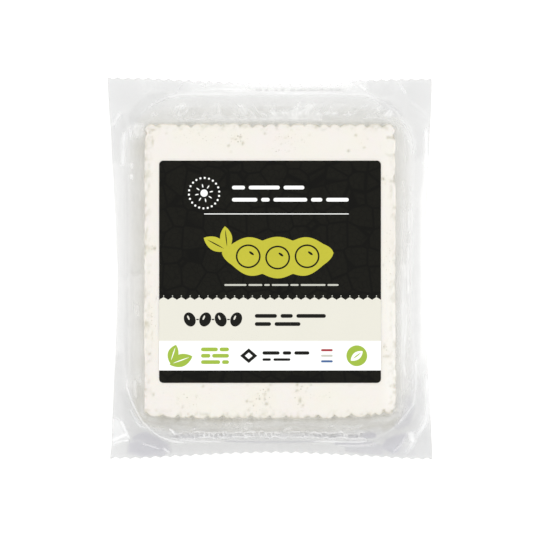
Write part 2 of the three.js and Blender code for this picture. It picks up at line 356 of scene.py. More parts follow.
CRACKS = (  # from, to, depth
    (44.2, 35.4, 49.2, 34.0, 0.42), (46.4, 51.6, 49.2, 51.4, 0.50), (45.8, 45.2, 49.0, 43.6, 0.22),
    (46.6, -34.6, 49.0, -35.2, 0.20), (-49.2, -23.0, -47.6, -24.6, 0.20), (-49.4, 8.4, -45.4, 7.8, 0.22),
)


def graded(length, zones):
    """Stations from one end to the other. zones gives (depth from the end,
    spacing) pairs, and the last spacing holds in the middle."""
    out, at = [0.0], 0.0
    for depth, step in zones[:-1]:
        k = max(1, round((depth - at) / step))
        out += list(np.linspace(at, depth, k + 1)[1:])
        at = depth
    k = max(1, round((length - 2 * at) / zones[-1][1]))
    mid = list(np.linspace(at, length - at, k + 1)[1:])
    tail = [length - v for v in out[::-1]][1:]
    return np.array(out + mid + tail)


def build_block():
    z_low, z_high = 0.12, BLOCK_H - 0.10
    hx, hy, hz = BLOCK_W / 2 - 0.12, BLOCK_L / 2 - 0.12, (z_high - z_low) / 2
    gx = graded(2 * hx, [(1.2, 0.3), (6.5, 0.42), (0, 0.54)]) - hx
    gy = graded(2 * hy, [(1.2, 0.3), (13.5, 0.48), (0, 0.95)]) - hy
    gz = graded(2 * hz, [(0.6, 0.15), (2.0, 0.28), (4.2, 0.55), (0, 0.95)]) - hz
    nx, ny, nz = len(gx) - 1, len(gy) - 1, len(gz) - 1
    grid = -np.ones((nx + 1, ny + 1, nz + 1), np.int64)
    shell = np.zeros_like(grid, bool)
    shell[[0, -1], :, :] = True
    shell[:, [0, -1], :] = True
    shell[:, :, [0, -1]] = True
    idx = np.argwhere(shell)
    grid[shell] = np.arange(len(idx))
    px, py, pz = gx[idx[:, 0]], gy[idx[:, 1]], gz[idx[:, 2]]

    # the plan's corners become round: squares about each corner turn to circles
    R = np.select([(px > 0) & (py > 0), (px <= 0) & (py > 0), (px <= 0) & (py <= 0)],
                  [BLOCK_R["tr"], BLOCK_R["tl"], BLOCK_R["bl"]], BLOCK_R["br"]) - 0.6
    qx, qy = np.clip(px, -hx + R, hx - R), np.clip(py, -hy + R, hy - R)
    dx, dy = px - qx, py - qy
    m, dist = np.maximum(np.abs(dx), np.abs(dy)), np.hypot(dx, dy)
    k = np.where(dist > 1e-9, m / np.maximum(dist, 1e-9), 1.0)
    px, py = qx + dx * k, qy + dy * k
    # outward direction in the plan, and how far in from the outline
    ax, ay = hx - np.abs(px), hy - np.abs(py)
    corner = (np.abs(dx) > 1e-9) & (np.abs(dy) > 1e-9)
    inner = np.where(corner, R - np.hypot(px - qx, py - qy), np.minimum(ax, ay))
    inner = np.maximum(inner, 0)
    ox = np.where(corner, px - qx, np.where(ax <= ay, np.sign(px), 0))
    oy = np.where(corner, py - qy, np.where(ax <= ay, 0, np.sign(py)))
    ol = np.maximum(np.hypot(ox, oy), 1e-9)
    ox, oy = ox / ol, oy / ol

    # rounded edges between the faces and the sides
    X, Y = px + BLOCK_CX, py + BLOCK_CY
    r = 0.45 + 0.55 * noise(X / 5.0, Y / 5.0, 61) + 0.35 * noise(X / 1.5, Y / 1.5, 62)
    zt = hz - np.abs(pz)
    on_face = zt < 1e-6
    near = np.where(on_face, inner < r, zt < r)
    ang = np.where(
        on_face, math.pi / 4 * (1 - inner / r), math.pi / 2 - math.pi / 4 * (1 - zt / r)
    )
    in_new = np.where(near, r * (1 - np.sin(ang)), inner)
    zt_new = np.where(near, r * (1 - np.cos(ang)), zt)
    px = px + ox * (inner - in_new)
    py = py + oy * (inner - in_new)
    pz = np.sign(pz) * (hz - zt_new)
    X, Y, Z = px + BLOCK_CX, py + BLOCK_CY, pz + (z_low + z_high) / 2

    # notches and ragged edges, pushed inwards
    w = side_weights(X, Y, 3.0)
    up = clamp01(Z / BLOCK_H)
    gap = np.zeros(len(X))
    moves = np.zeros((2, len(X)))
    for side in SIDES:
        number = SIDES.index(side)
        along = X if side in ("top", "bottom") else Y
        strength = 1.0 if side in ("top", "bottom") else 0.35 + 0.65 * ease(0.55, 1.0, np.abs(2 * up - 1))
        b = bite(side, along, Z) * strength
        rough = (
            0.34 * (fbm(along / 2.9, Z / 4.3, 71 + number, 3) - 0.35)
            + 0.30 * np.maximum(0, noise(along / 0.8, Z / 1.0, 75 + number) - 0.5)
            + 0.55 * (fbm(along / 17.0, Z / 30.0, 83 + number, 2) - 0.4)
        )
        b = np.maximum((b + rough) * w[side], 0)
        moves[0] -= OUT[side][0] * b
        moves[1] -= OUT[side][1] * b
        gap = np.maximum(gap, np.maximum(0, bite(side, along, Z) * strength) * w[side])
    # chipped corners
    for cx, cy, size in (
        (-49.9, 57.5, 1.5), (49.9, 57.5, 2.0), (49.9, -58.5, 3.6), (-49.9, -58.5, 0.6),
    ):
        d = np.hypot(X - cx, Y - cy)
        k = np.clip(1 - d / (size * 2.4), 0, 1) ** 1.5 * size * 0.45
        k = k * (0.45 + 1.1 * noise(X / 1.2, Y / 1.2 + Z / 3.0, 91))
        moves[0] -= math.copysign(1, cx) * k * 0.7
        moves[1] -= math.copysign(1, cy) * k * 0.7
        gap = np.maximum(gap, k * 0.2)
    X, Y = X + moves[0], Y + moves[1]
    Y = Y - foot_bow(X) * np.clip(1 - (Y - (BLOCK_CY - BLOCK_L / 2)) / 9.0, 0, 1)

    # relief of the faces: slow unevenness, small pits, some cracks
    face = ease(0.0, 2.2, inner) * on_face
    top = on_face & (pz > 0)
    relief = 0.10 * (fbm(X / 21.0, Y / 21.0, 101, 3) - 0.5)
    relief = relief + 0.05 * (noise(X / 3.3, Y / 3.3, 104) - 0.5)
    crumble = np.maximum(0, fbm(X / 1.4, Y / 1.4, 107, 2) - 0.52) * ease(4.5, 0.8, inner)
    rng = np.random.default_rng(7)
    holes = list(PITS)
    for cx, cy, count, sx, sy in PORE_GROUPS:
        for _ in range(count // 2):
            size = rng.uniform(0.22, 0.34)
            holes.append((cx + rng.normal(0, sx), cy + rng.normal(0, sy), size, size, rng.uniform(0.10, 0.26)))
    for _ in range(50):
        size = rng.uniform(0.2, 0.36)
        holes.append((rng.uniform(-49, 49), rng.uniform(-57, 56), size, size * rng.uniform(0.7, 1.3), rng.uniform(0.05, 0.14)))
    crowd = np.zeros(len(X))
    for cx, cy, count, sx, sy in PORE_GROUPS:
        crowd = np.maximum(crowd, min(1.0, 0.35 + 0.09 * count) * np.exp(-0.5 * (((X - cx) / (sx + 0.5)) ** 2 + ((Y - cy) / (sy + 0.5)) ** 2)))
    pit = np.zeros(len(X))
    for hx_, hy_, rx, ry, hd in holes:
        close = np.flatnonzero((np.abs(X - hx_) < 4) & (np.abs(Y - hy_) < 4) & on_face)
        d2 = ((X[close] - hx_) / rx) ** 2 + ((Y[close] - hy_) / ry) ** 2
        pit[close] = np.maximum(pit[close], hd * np.exp(-d2))
    crack = np.zeros(len(X))
    for ax_, ay_, bx_, by_, depth in CRACKS:
        lx, ly = bx_ - ax_, by_ - ay_
        t = clamp01(((X - ax_) * lx + (Y - ay_) * ly) / (lx * lx + ly * ly))
        wob = 0.5 * (noise(X / 1.3, Y / 1.3, 121) - 0.5)
        d = np.hypot(X - ax_ - t * lx, Y - ay_ - t * ly) + wob
        crack = np.maximum(crack, depth * np.exp(-((d / 0.34) ** 2)) * top)
    down = np.maximum(relief + 0.075, 0) + pit + crack + 0.9 * crumble
    sink = np.where(on_face, np.maximum(face, 0.6 * ((crack > 0.05) | (crumble > 0.01))), 0)
    Z = np.clip(Z - np.sign(pz) * down * sink, z_low, z_high)

    quads = []

    def sheet(g, flip):
        a, b, c, d = g[:-1, :-1], g[1:, :-1], g[1:, 1:], g[:-1, 1:]
        q = np.stack([a, b, c, d] if not flip else [a, d, c, b], axis=-1).reshape(-1, 4)
        quads.append(q)

    sheet(grid[:, :, -1], False)
    sheet(grid[:, :, 0], True)
    sheet(grid[0, :, :], True)
    sheet(grid[-1, :, :], False)
    sheet(grid[:, 0, :], False)
    sheet(grid[:, -1, :], True)
    # painted shade along the rounded edges is weak on the long sides, but stronger over one stretch of the left side
    side_rim = 0.12 + 0.6 * (X < 0) * np.exp(-(((Y + 17) / 9.0) ** 4)) * noise(X / 3.0, Y / 2.6, 135)
    ob = make_mesh("tofu_block", np.stack([X, Y, Z], 1), quads)
    point_attribute(ob, "hollow_shade", np.clip(pit * 2.4 + crack * 1.6 + crumble * 2.0, 0, 1))
    point_attribute(ob, "notch", np.clip(gap, 0, 1))
    point_attribute(ob, "rim", np.clip(1 - inner / 2.0, 0, 1) * np.where(np.abs(ox) > 0.8, side_rim, 1.0))
    point_attribute(ob, "crowd", crowd)
    # painted highlight: a lighter strip along the lower part of the block's right edge, weaker above the middle
    edge_highlight_strip = np.exp(-(((X - 47.8) / 3.0) ** 2)) * (0.50 + 0.3 * noise(Y / 14.0, 1.0, 141)) * ease(-58.0, -50.0, Y)
    edge_highlight_strip = edge_highlight_strip * (1 - 0.62 * ease(-2.0, 10.0, Y))
    point_attribute(ob, "edge_highlight_strip", np.clip(edge_highlight_strip, 0, 1))
    return ob


# ------------------------------------------------------------------ the clear film
def film_notch(walk):
    """The film dips slightly into the flutes it bridges."""
    total = np.zeros(walk.n)
    for side in SIDES:
        nx, ny = OUT[side]
        facing = np.clip(walk.d[0] * nx + walk.d[1] * ny, 0, 1) ** 8
        along = walk.b[0] if side in ("top", "bottom") else walk.b[1]
        total = np.maximum(total, facing * bite(side, along, 12.0, 1.5))
    return total


# Folds pressed into the film: points in mm, height, half width, whiteness, which is
# stress whitening with a painted highlight, and how much the fold is interrupted.
FOLDS = (
    # along the pocket's rim, round each corner
    (((-57.6, -40.0), (-57.2, -47.0), (-55.5, -52.2), (-53.5, -56.6), (-50.9, -61.0), (-47.9, -64.2),
      (-44.4, -67.0), (-39.9, -68.6), (-36.5, -69.2), (-31.0, -69.4)), 0.34, 0.48, 0.42, 0.40),
    (((-56.2, -55.0), (-53.5, -61.0), (-51.9, -63.0), (-48.4, -64.1)), 0.34, 0.45, 0.34, 0.3),
    (((58.3, -34.0), (58.4, -46.0), (57.6, -54.0), (54.2, -58.8), (51.0, -62.6), (49.4, -65.4)), 0.26, 0.62, 0.28, 0.5),
    (((28.0, 69.9), (38.5, 69.3), (41.6, 67.6), (46.1, 64.8), (51.1, 61.2), (56.1, 55.6),
      (58.1, 49.4), (58.3, 40.0)), 0.12, 1.20, 0.11, 0.5),
    (((-47.0, 63.8), (-43.9, 65.6), (-39.9, 67.6), (-35.5, 68.8), (-29.9, 69.8), (-16.0, 70.0)), 0.10, 1.10, 0.12, 0.4),
    # inside the rim
    (((43.5, 63.4), (48.2, 61.2), (52.2, 57.4), (54.8, 52.8), (55.8, 48.0)), 0.10, 0.90, 0.10, 0.4),
    (((33.0, 58.9), (38.0, 60.0), (41.1, 60.2), (46.1, 59.2), (51.1, 57.0), (55.1, 53.4),
      (57.1, 48.4), (57.6, 42.0)), 0.14, 0.75, 0.16, 0.3),
    (((-47.5, 60.6), (-42.9, 64.2), (-37.9, 66.0)), 0.06, 0.90, 0.06, 0.4),
    (((55.5, 24.4), (55.5, 13.6)), 0.10, 0.42, 0.30, 0.1),
    (((55.5, 12.0), (55.2, 0.0), (55.4, -13.6)), 0.07, 0.65, 0.28, 0.4),
    (((54.5, -8.0), (54.4, -22.0), (53.5, -32.0), (53.3, -38.0), (54.3, -46.0)), 0.12, 0.80, 0.32, 0.5),
    (((-53.0, -8.0), (-52.6, -24.0), (-53.4, -40.0), (-51.6, -52.0)), 0.14, 0.60, 0.10, 0.4),
    (((-56.2, 56.6), (-55.2, 52.0)), 0.24, 0.50, 0.34, 0.1),
    (((-54.4, 55.6), (-53.3, 51.6)), 0.24, 0.45, 0.34, 0.1),
    (((-55.2, 42.6), (-55.0, 40.0)), 0.08, 0.90, 0.30, 0.0),
    (((-55.4, 38.0), (-54.9, 35.4)), 0.10, 0.90, 0.36, 0.0),
    # outside it, and over the ears
    (((-58.0, 56.0), (-58.3, 52.0), (-58.7, 46.0), (-58.9, 40.0)), 0.13, 1.00, 0.40, 0.1),
    (((-59.9, -60.0), (-58.6, -63.0), (-57.4, -65.4), (-56.0, -68.6)), 0.36, 0.55, 0.60, 0.0),
    (((-63.8, -69.4), (-61.4, -68.2), (-59.2, -67.0), (-56.0, -66.0)), 0.22, 0.60, 0.55, 0.1),
    (((-64.0, -71.0), (-61.4, -69.8), (-58.8, -68.9), (-55.6, -68.6)), 0.26, 0.50, 0.60, 0.1),
    (((-51.8, -69.8), (-47.5, -71.0), (-43.6, -72.2)), 0.14, 0.42, 0.34, 0.0),
    (((62.1, -40.0), (62.8, -50.0), (63.0, -56.5), (62.3, -61.0), (60.3, -64.6), (57.9, -68.0), (55.3, -72.6),
      (51.8, -75.2)), 0.28, 1.10, 0.38, 0.3),
    (((54.6, -66.6), (52.6, -70.2), (49.0, -73.6)), 0.20, 0.50, 0.28, 0.2),
    (((51.4, 74.4), (52.6, 73.0), (53.6, 71.2), (54.4, 69.6)), 0.10, 0.70, 0.20, 0.2),
    (((55.6, 68.0), (58.0, 65.8), (61.1, 63.0), (63.8, 60.2)), 0.05, 0.90, 0.12, 0.6),
    (((-62.8, 56.6), (-61.2, 59.8), (-59.4, 62.8)), 0.09, 0.90, 0.28, 0.1),
    (((34.6, 74.2), (36.6, 72.6), (38.8, 71.2)), 0.22, 0.50, 0.36, 0.1),
    (((62.7, 57.0), (62.6, 50.0), (62.5, 40.0)), 0.16, 0.90, 0.60, 0.1),
    (((-34.0, 70.6), (-22.0, 71.6), (-8.0, 71.2), (6.0, 70.2), (20.0, 70.2), (29.0, 70.6)), 0.12, 0.70, 0.30, 0.4),
    (((-40.4, -63.6), (-38.8, -65.0), (-37.4, -66.8)), 0.22, 0.50, 0.50, 0.0),
    (((-42.6, -71.6), (-41.2, -72.8), (-40.0, -73.8)), 0.16, 0.50, 0.45, 0.0),
    # along the foot
    (((-38.0, -68.4), (-30.0, -68.9), (-18.0, -69.1)), 0.16, 0.40, 0.40, 0.2),
    (((15.0, -68.9), (24.0, -69.1), (36.0, -69.4), (41.0, -68.6)), 0.18, 0.40, 0.40, 0.2),
    (((26.0, -70.6), (36.0, -70.9), (41.0, -70.4), (44.0, -69.0)), 0.14, 0.42, 0.32, 0.2),
)
# Places where painted shade deepens the film's grey: outline, softness of its edge, depth.
PAINTED_SHADES = (
    (((-55.6, -67.6), (-53.0, -65.6), (-49.5, -64.8), (-45.6, -66.3), (-42.8, -68.0), (-41.6, -69.5),
      (-44.0, -70.4), (-48.0, -69.8), (-52.0, -69.1), (-54.8, -69.0)), 1.2, 3.5),
    (((-57.6, -72.2), (-52.0, -71.2), (-47.0, -71.8), (-43.0, -72.8), (-40.9, -73.9), (-42.0, -75.4),
      (-48.0, -75.4), (-53.6, -74.6)), 1.1, 3.3),
    (((-57.2, -69.2), (-50.0, -67.4), (-40.4, -68.4), (-38.8, -73.4), (-50.0, -76.4), (-57.4, -74.2)), 2.6, 3.7),
    (((-60.6, -48.0), (-55.6, -49.0), (-52.6, -57.0), (-50.5, -64.0), (-57.6, -66.4), (-59.8, -58.0)), 2.2, 1.6),
    (((-63.8, -34.0), (-58.6, -34.0), (-58.0, -50.0), (-58.8, -63.0), (-63.6, -65.0)), 2.0, 1.1),
    (((-51.0, -58.0), (-47.0, -59.5), (-34.0, -60.5), (-34.0, -63.5), (-42.0, -64.2), (-50.0, -63.0)), 1.2, 1.8),
    (((-57.0, 57.5), (-57.0, 62.0), (-54.0, 66.5), (-48.0, 70.5), (-41.0, 71.2), (-40.0, 68.6), (-43.0, 63.5),
      (-50.0, 60.5), (-53.0, 57.5)), 1.6, 1.35),
    (((-50.0, 76.0), (-34.0, 75.0), (-31.0, 72.5), (-33.0, 70.2), (-42.0, 70.4), (-50.0, 72.0)), 1.5, 1.05),
    (((-64.4, 63.0), (-57.5, 62.0), (-56.8, 57.0), (-58.6, 50.0), (-59.2, 42.0), (-63.0, 42.0)), 1.8, 1.1),
    (((38.8, 75.6), (50.0, 76.0), (50.0, 69.4), (44.0, 68.6), (39.5, 71.0)), 0.9, 1.05),
    (((43.5, 67.6), (48.0, 67.0), (53.0, 61.6), (50.4, 60.0), (44.0, 64.2)), 1.0, 2.0),
    (((57.5, 58.5), (61.6, 58.5), (62.0, 44.0), (58.5, 44.0)), 1.5, 0.9),
    (((50.5, -50.5), (56.5, -50.5), (58.5, -56.0), (56.5, -63.0), (51.0, -65.5), (48.6, -62.5), (51.0, -57.0)), 1.5, 2.9),
    (((55.0, -42.0), (61.5, -44.0), (63.0, -52.0), (62.5, -59.0), (57.0, -59.0), (54.5, -52.0)), 2.2, 1.35),
    (((29.0, -68.0), (40.0, -68.0), (46.0, -70.6), (46.0, -75.0), (38.0, -74.6), (30.0, -73.6)), 1.2, 2.8),
    (((42.0, -70.0), (58.0, -70.4), (60.0, -75.8), (42.0, -75.4)), 1.5, 2.2),
    (((46.6, -67.6), (50.5, -66.2), (55.0, -65.4), (55.3, -66.8), (53.6, -70.0), (51.6, -73.8),
      (48.8, -74.6), (45.2, -72.6), (44.0, -71.4)), 1.3, 3.6),
    (((54.0, -63.5), (58.0, -57.5), (60.4, -57.0), (60.0, -62.5), (57.6, -66.2), (53.0, -66.5)), 2.0, 1.9),
    (((37.0, -65.4), (40.4, -65.0), (42.6, -66.0), (42.8, -67.6), (40.4, -68.2), (37.0, -67.9)), 0.6, 4.4),
    (((30.8, -64.6), (35.0, -63.9), (38.6, -64.8), (34.6, -65.7)), 0.8, 2.8),
)
# Places where the film is painted lighter, as painted highlights: outline, softness, whiteness.
PAINTED_LIGHT_PATCHES = (
    (((-54.4, 58.0), (-49.6, 57.6), (-49.2, 52.4), (-52.8, 52.0), (-54.6, 54.0)), 1.0, 0.26),
    (((-57.0, -3.0), (-50.6, -3.0), (-50.0, -46.0), (-53.0, -46.0), (-56.6, -30.0)), 1.8, 0.12),
    (((50.0, 2.0), (55.4, 2.0), (54.8, -34.0), (50.0, -42.0)), 1.6, 0.11),
    (((0.6, 63.6), (20.0, 63.8), (20.0, 59.2), (0.0, 59.2)), 1.4, 0.13),
    (((-54.5, -44.6), (-53.1, -44.6), (-52.9, -51.6), (-54.3, -51.6)), 0.5, 0.24),
    (((2.0, -62.2), (8.6, -62.2), (8.6, -65.0), (2.0, -65.0)), 0.8, 0.08),
)
# Places where a warm painted shade lies under the film: outline, softness, amount.
WARM_SHADES = (
    (((-54.0, -44.0), (-51.0, -45.0), (-50.9, -57.0), (-48.4, -61.5), (-52.6, -60.0), (-54.4, -52.0)), 1.4, 0.36),
    (((44.0, -62.8), (49.0, -60.4), (52.4, -58.4), (53.2, -60.5), (50.0, -64.4), (45.5, -65.0)), 1.4, 0.34),
    (((-45.0, -60.0), (-20.0, -60.2), (6.0, -60.4), (6.0, -64.0), (-20.0, -64.6), (-41.0, -64.2)), 1.3, 0.16),
    (((-33.0, -60.9), (-22.0, -61.1), (-10.6, -61.2), (-10.6, -63.3), (-22.0, -63.5), (-33.0, -63.2)), 0.8, 0.30),
)
# Dark lines of painted shade along creases in the film's foot and sides: points, half width, depth.
SHADE_LINES = (
    (((-20.5, -69.1), (-6.0, -69.4), (8.0, -69.4), (22.5, -69.1)), 0.42, 4.2),
    (((25.0, -69.9), (33.0, -70.15), (40.0, -69.9)), 0.48, 5.0),
    (((-41.0, -66.6), (-33.0, -67.4)), 0.40, 2.0),
    (((-57.0, -6.0), (-57.5, -26.0), (-57.2, -46.0)), 0.80, 1.1),
    (((-57.3, 44.0), (-57.1, 20.0), (-57.0, -8.0)), 0.90, 0.8),
    (((64.0, 58.5), (63.8, 52.0), (63.6, 44.0)), 0.45, 2.0),
    (((-55.2, 4.0), (-55.3, -18.0), (-54.8, -44.0)), 0.70, 1.0),
)


def near_path(x, y, pts):
    """Distance to the line through the points, and the share of its length that
    is passed there."""
    p = np.array(pts)
    lengths = np.hypot(*(p[1:] - p[:-1]).T)
    reach = np.concatenate([[0], np.cumsum(lengths)])
    best, where = np.full(np.shape(x), 1e9), np.zeros(np.shape(x))
    for (x0, y0), (x1, y1), l, at in zip(p[:-1], p[1:], lengths, reach):
        t = clamp01(((x - x0) * (x1 - x0) + (y - y0) * (y1 - y0)) / (l * l))
        d = np.hypot(x - x0 - t * (x1 - x0), y - y0 - t * (y1 - y0))
        near = d < best
        best, where = np.where(near, d, best), np.where(near, (at + t * l) / reach[-1], where)
    return best, where


def within(x, y, pts, soft):
    """1 inside the outline through the points and 0 outside, with a soft edge."""
    inside = np.zeros(np.shape(x), bool)
    for (x0, y0), (x1, y1) in zip(pts, pts[1:] + pts[:1]):
        if y0 != y1:
            inside ^= ((y0 > y) != (y1 > y)) & (x < (x1 - x0) * (y - y0) / (y1 - y0) + x0)
    d, _ = near_path(x, y, pts + pts[:1])
    return ease(-soft, soft, np.where(inside, d, -d))


def folds(x, y):
    """Height of the pressed folds at a place, and how white their crests are: stress whitening with a painted
    highlight.
    """
    total, white = np.zeros(np.shape(x)), np.zeros(np.shape(x))
    gaps = noise(x / 4.0, y / 4.0, 431)
    for pts, height, half, whiteness, broken in FOLDS:
        d, where = near_path(x, y, pts)
        much = ease(0, 0.18, where) * ease(0, 0.18, 1 - where) * mix(1.0, 1.5 * gaps, broken)
        total += height * much * np.exp(-((d / half) ** 1.6))
        white = np.maximum(white, whiteness * much * np.exp(-((d / (half * 0.9)) ** 2)))
    return total, white


def ladder(x, y):
    """The row of small crumples along the foot: two wavy rails with leaning rungs
    between them. Returns height, whiteness (a painted highlight on rails and rungs)
    and depth of painted shade in the cells."""
    upper = -65.2 - 0.5 * (x / 36) ** 2 + 0.50 * (2 * noise(x / 1.5, 0.0, 601) - 1)
    lower = -67.2 - 0.9 * (x / 36) ** 2 + 0.50 * (2 * noise(x / 1.2, 5.0, 602) - 1)
    live = ease(-41.0, -37.0, x) * ease(39.6, 36.8, x)
    strong = np.clip(0.55 + 0.55 * noise(x / 11.0, 3.0, 603) + 0.20 * ease(6.0, 12.0, x) + 0.22 * ease(2.0, -5.0, x), 0, 1.0)
    rails = 0.8 * np.exp(-(((y - upper) / 0.34) ** 2)) + np.exp(-(((y - lower) / 0.34) ** 2))
    between = ease(upper + 0.1, upper - 0.55, y) * ease(lower - 0.1, lower + 0.55, y)
    phase = x / 2.3 + 2.2 * noise(x / 3.7, 0.0, 604) + (0.5 * noise(x / 5.0, 2.0, 607) - 0.1) * (y + 66.6)
    rung = np.exp(-((np.sin(np.pi * phase) / 0.40) ** 2)) * (0.25 + 1.1 * noise(x / 1.9, 8.0, 605))
    uneven = 0.45 + 0.9 * noise(x / 1.6, y / 1.2, 606)
    height = live * strong * (0.42 * rails + 0.30 * between * rung)
    white = live * strong * uneven * (0.36 * rails + 0.36 * between * rung)
    shade = live * strong * between * np.clip(1 - rung, 0, 1) * (1 - 0.5 * np.exp(-((x / 11.0) ** 2)))
    return height, white, shade


def build_film():
    w = Walk(258, 150, 42)
    n = w.n
    dip = film_notch(w)
    fall_power = 2.1 + 0.11 * np.maximum(0, w.width - 8)
    north, south = np.clip(w.d[1], 0, 1) ** 1.5, np.clip(-w.d[1], 0, 1) ** 1.5
    east, west = np.clip(w.d[0], 0, 1) ** 1.5, np.clip(-w.d[0], 0, 1) ** 1.5
    s, L = w.s, w.length
    H = BLOCK_H
    droop = 0.10 * noise(*(q / 9.0 for q in w.b), 131)
    rings = []  # (positions, film grey share, whey with painted shade, milkiness with painted highlights, grey with painted shade), from the front's middle to the back's

    def ring(x, y, z, air, whey_and_shade=0.0, milk_and_highlight=0.0, grey_and_shade=0.0):
        full = lambda q: np.broadcast_to(np.asarray(q, float), np.shape(x))
        rings.append(np.stack([x, y, full(z), full(air), full(whey_and_shade), full(milk_and_highlight), full(grey_and_shade)], 1))

    def around(pitch):
        """Coordinate along the rim in cells of about that pitch, and the wrap."""
        cells = max(3, round(L / pitch))
        return s / L * cells, cells

    c16, p16 = around(1.6)
    c24, p24 = around(2.5)
    c3, p3 = around(3.4)
    c5, p5 = around(5.5)
    c12, p12 = around(12)
    c26, p26 = around(26)
    c40, p40 = around(40)
    share = north + south + east + west

    # ------------------------------------------------------------- the pocket's wall
    zr = flange_z(w.r[0], w.r[1])

    def wall(t, front):
        """Undisturbed wall at t, in front of or behind the flange."""
        x, y = mix(w.b[0], w.r[0], t), mix(w.b[1], w.r[1], t)
        f = (1 - t) ** fall_power
        if front:
            return x, y, mix(zr + 0.12, H - 1.3 - droop, f)
        return x, y, mix(zr - 0.12, 1.2, f)

    def wall_normal(t, front):
        e = 1e-3
        x0, y0, z0 = wall(max(t - e, 0), front)
        x1, y1, z1 = wall(min(t + e, 1), front)
        dr = (x1 - x0) * w.e[0] + (y1 - y0) * w.e[1]
        dz = z1 - z0
        l = np.hypot(dr, dz)
        sign = 1 if front else -1
        return w.e[0] * (-dz / l) * sign, w.e[1] * (-dz / l) * sign, dr / l * sign

    def creases(t, front):
        """Height of the wrinkles on the wall at t, in mm along its normal, with the
        whiteness of their crests (stress whitening and painted highlights), the
        depth of painted shade, and an olive painted shade.
        """
        seed = 200 if front else 300
        r = t * w.width
        sway = 1.5 * noise(c12, r / 8.0, seed + 1, p12) + 0.8 * noise(c3, r / 3.0, seed + 2, p3)
        # long folds that run with the block's edge
        long1 = crest(noise(c26, r / 1.9 + sway, seed + 3, p26), 1.4)
        long2 = crest(noise(c12, r / 1.1 + 1.3 * sway, seed + 4, p12), 1.4)
        # folds that run outwards, like drips
        lean = 1.5 * noise(c12, r / 4.0, seed + 5, p12) + 0.8 * noise(c5, r / 2.5, seed + 6, p5)
        drip1 = crest(noise(c3 + lean, r / 7.0, seed + 7, p3), 1.3)
        drip2 = crest(noise(c16 + 2 * lean, r / 4.5, seed + 8, p16), 1.3)
        # small sharp crumples
        warp = 0.9 * noise(c5, r / 3.0, seed + 9, p5)
        crum1 = crest(noise(c24 + warp, r / 1.7 + warp, seed + 10, p24), 1.1)
        crum2 = crest(noise(c16 - warp, r / 1.2 + 2 * warp, seed + 11, p16), 1.2)
        edge = w.width - r
        band = lambda lo, hi, soft: ease(lo - soft, lo + soft, r) * ease(hi + soft, hi - soft, r)
        calm = 1.2 * noise(c40, 0.0, seed + 14, p40)
        calm1 = crest(noise(c40, r / 2.6 + calm, seed + 12, p40), 1.2)
        calm2 = crest(noise(c26, r / 1.3 + 1.5 * calm, seed + 13, p26), 1.3)
        X, Y, _ = wall(t, front)
        soft1 = 0.65 * ease(0.15, 0.85, noise(c24 + 0.5 * lean, r / 5.0, seed + 16, p24)) + 0.35 * ease(
            0.2, 0.8, noise(c16 + 0.5 * lean, r / 3.2, seed + 19, p16))
        veil = ease(0.2, 0.8, noise(c5 + 0.3 * lean, r / 9.0, seed + 20, p5))
        slant = 0.5 * (r - 6.0) * (2 * noise(c12, 0.0, seed + 25, p12) - 1)
        wisp1 = crest(noise(c24 + slant + 0.5 * lean, r / 9.0, seed + 24, p24), 1.2)
        wisp2 = crest(noise(c16 + 1.4 * slant + 0.6 * lean, r / 6.0, seed + 26, p16), 1.2)
        soft2 = ease(0.35, 0.80, noise(c26 + 0.4 * lean, r / 2.2 + 0.5 * sway, seed + 17, p26))
        h_top = (
            0.008 * wisp1 * band(3.0, 8.6, 1.6) + 0.03 * soft2 * band(1.0, 5.0, 1.0)
        )
        h_ladder, w_ladder, shade = ladder(X, Y)
        h_bot = (0.12 * long2 + 0.10 * long1) * band(1.2, 5.6, 0.8) + 0.06 * long1 + h_ladder
        low_side = ease(-5.0, -38.0, Y)
        h_side = 0.06 * calm1 + (0.02 + 0.03 * west) * calm2 + 0.12 * long1 * low_side * band(1.0, 6.0, 0.8)
        h_corner = (0.26 * long1 + 0.18 * long2 + 0.14 * crum1) * np.where(w.d[1] > 0, 0.32, 1.0)
        total = share + w.turn
        h = (north * h_top + south * h_bot + (east + west) * h_side + w.turn * h_corner) / total
        if not front:
            h = h * 0.9
        h = h * ease(0.3, 1.4, r) * ease(0.0, 1.2, edge)
        # stretched crests turn white, and painted highlights lie on them
        w_top = (
            (0.17 * wisp1**2 + 0.12 * wisp2**2 + 0.05 * soft1) * (0.75 + 0.45 * veil) * band(3.6, 8.8, 1.3)
            + (0.09 * soft1 + 0.11 * soft2) * band(0.8, 4.4, 0.8)
        ) * (0.45 + 0.55 * ease(-46.0, -36.0, X))
        swirl = ease(0.42, 0.72, noise(c12, r / 5.0, seed + 27, p12)) * band(1.5, 6.4, 0.8)
        w_bot = w_ladder + 0.05 * long1**2 + 0.14 * long2**4 + (0.085 * crum1**2 + 0.055 * crum2**2) * swirl
        w_side = 0.05 * calm1**2 + (0.02 + 0.07 * east) * ease(0.45, 0.8, noise(c40, r / 1.3 + calm, seed + 18, p40))
        w_corner = (0.14 * long1**2 + 0.10 * long2**2 + 0.08 * crum1**2) * np.where(w.d[1] > 0, 0.35, 1.0)
        white = (north * w_top + south * w_bot + (east + west) * w_side + w.turn * w_corner) / total
        white = white * ease(0.2, 1.6, r) * ease(-0.2, 1.0, edge)
        for pts, soft, much in PAINTED_LIGHT_PATCHES:
            white = white + much * (0.7 + 0.6 * noise(c5, r / 3.0, seed + 23, p5)) * within(X, Y, pts, soft)
        # painted shade: the wall is tinted olive along the foot and faintly on the left
        olive_shade = 0.27 * (south + 0.6 * w.turn * (w.d[1] < 0)) * band(-2.0, 5.6, 1.2) * (0.05 + 1.35 * noise(c12, r / 1.2 + sway, seed + 15, p12))
        olive_shade = olive_shade + 0.06 * west * band(-2.0, 5.0, 2.0)
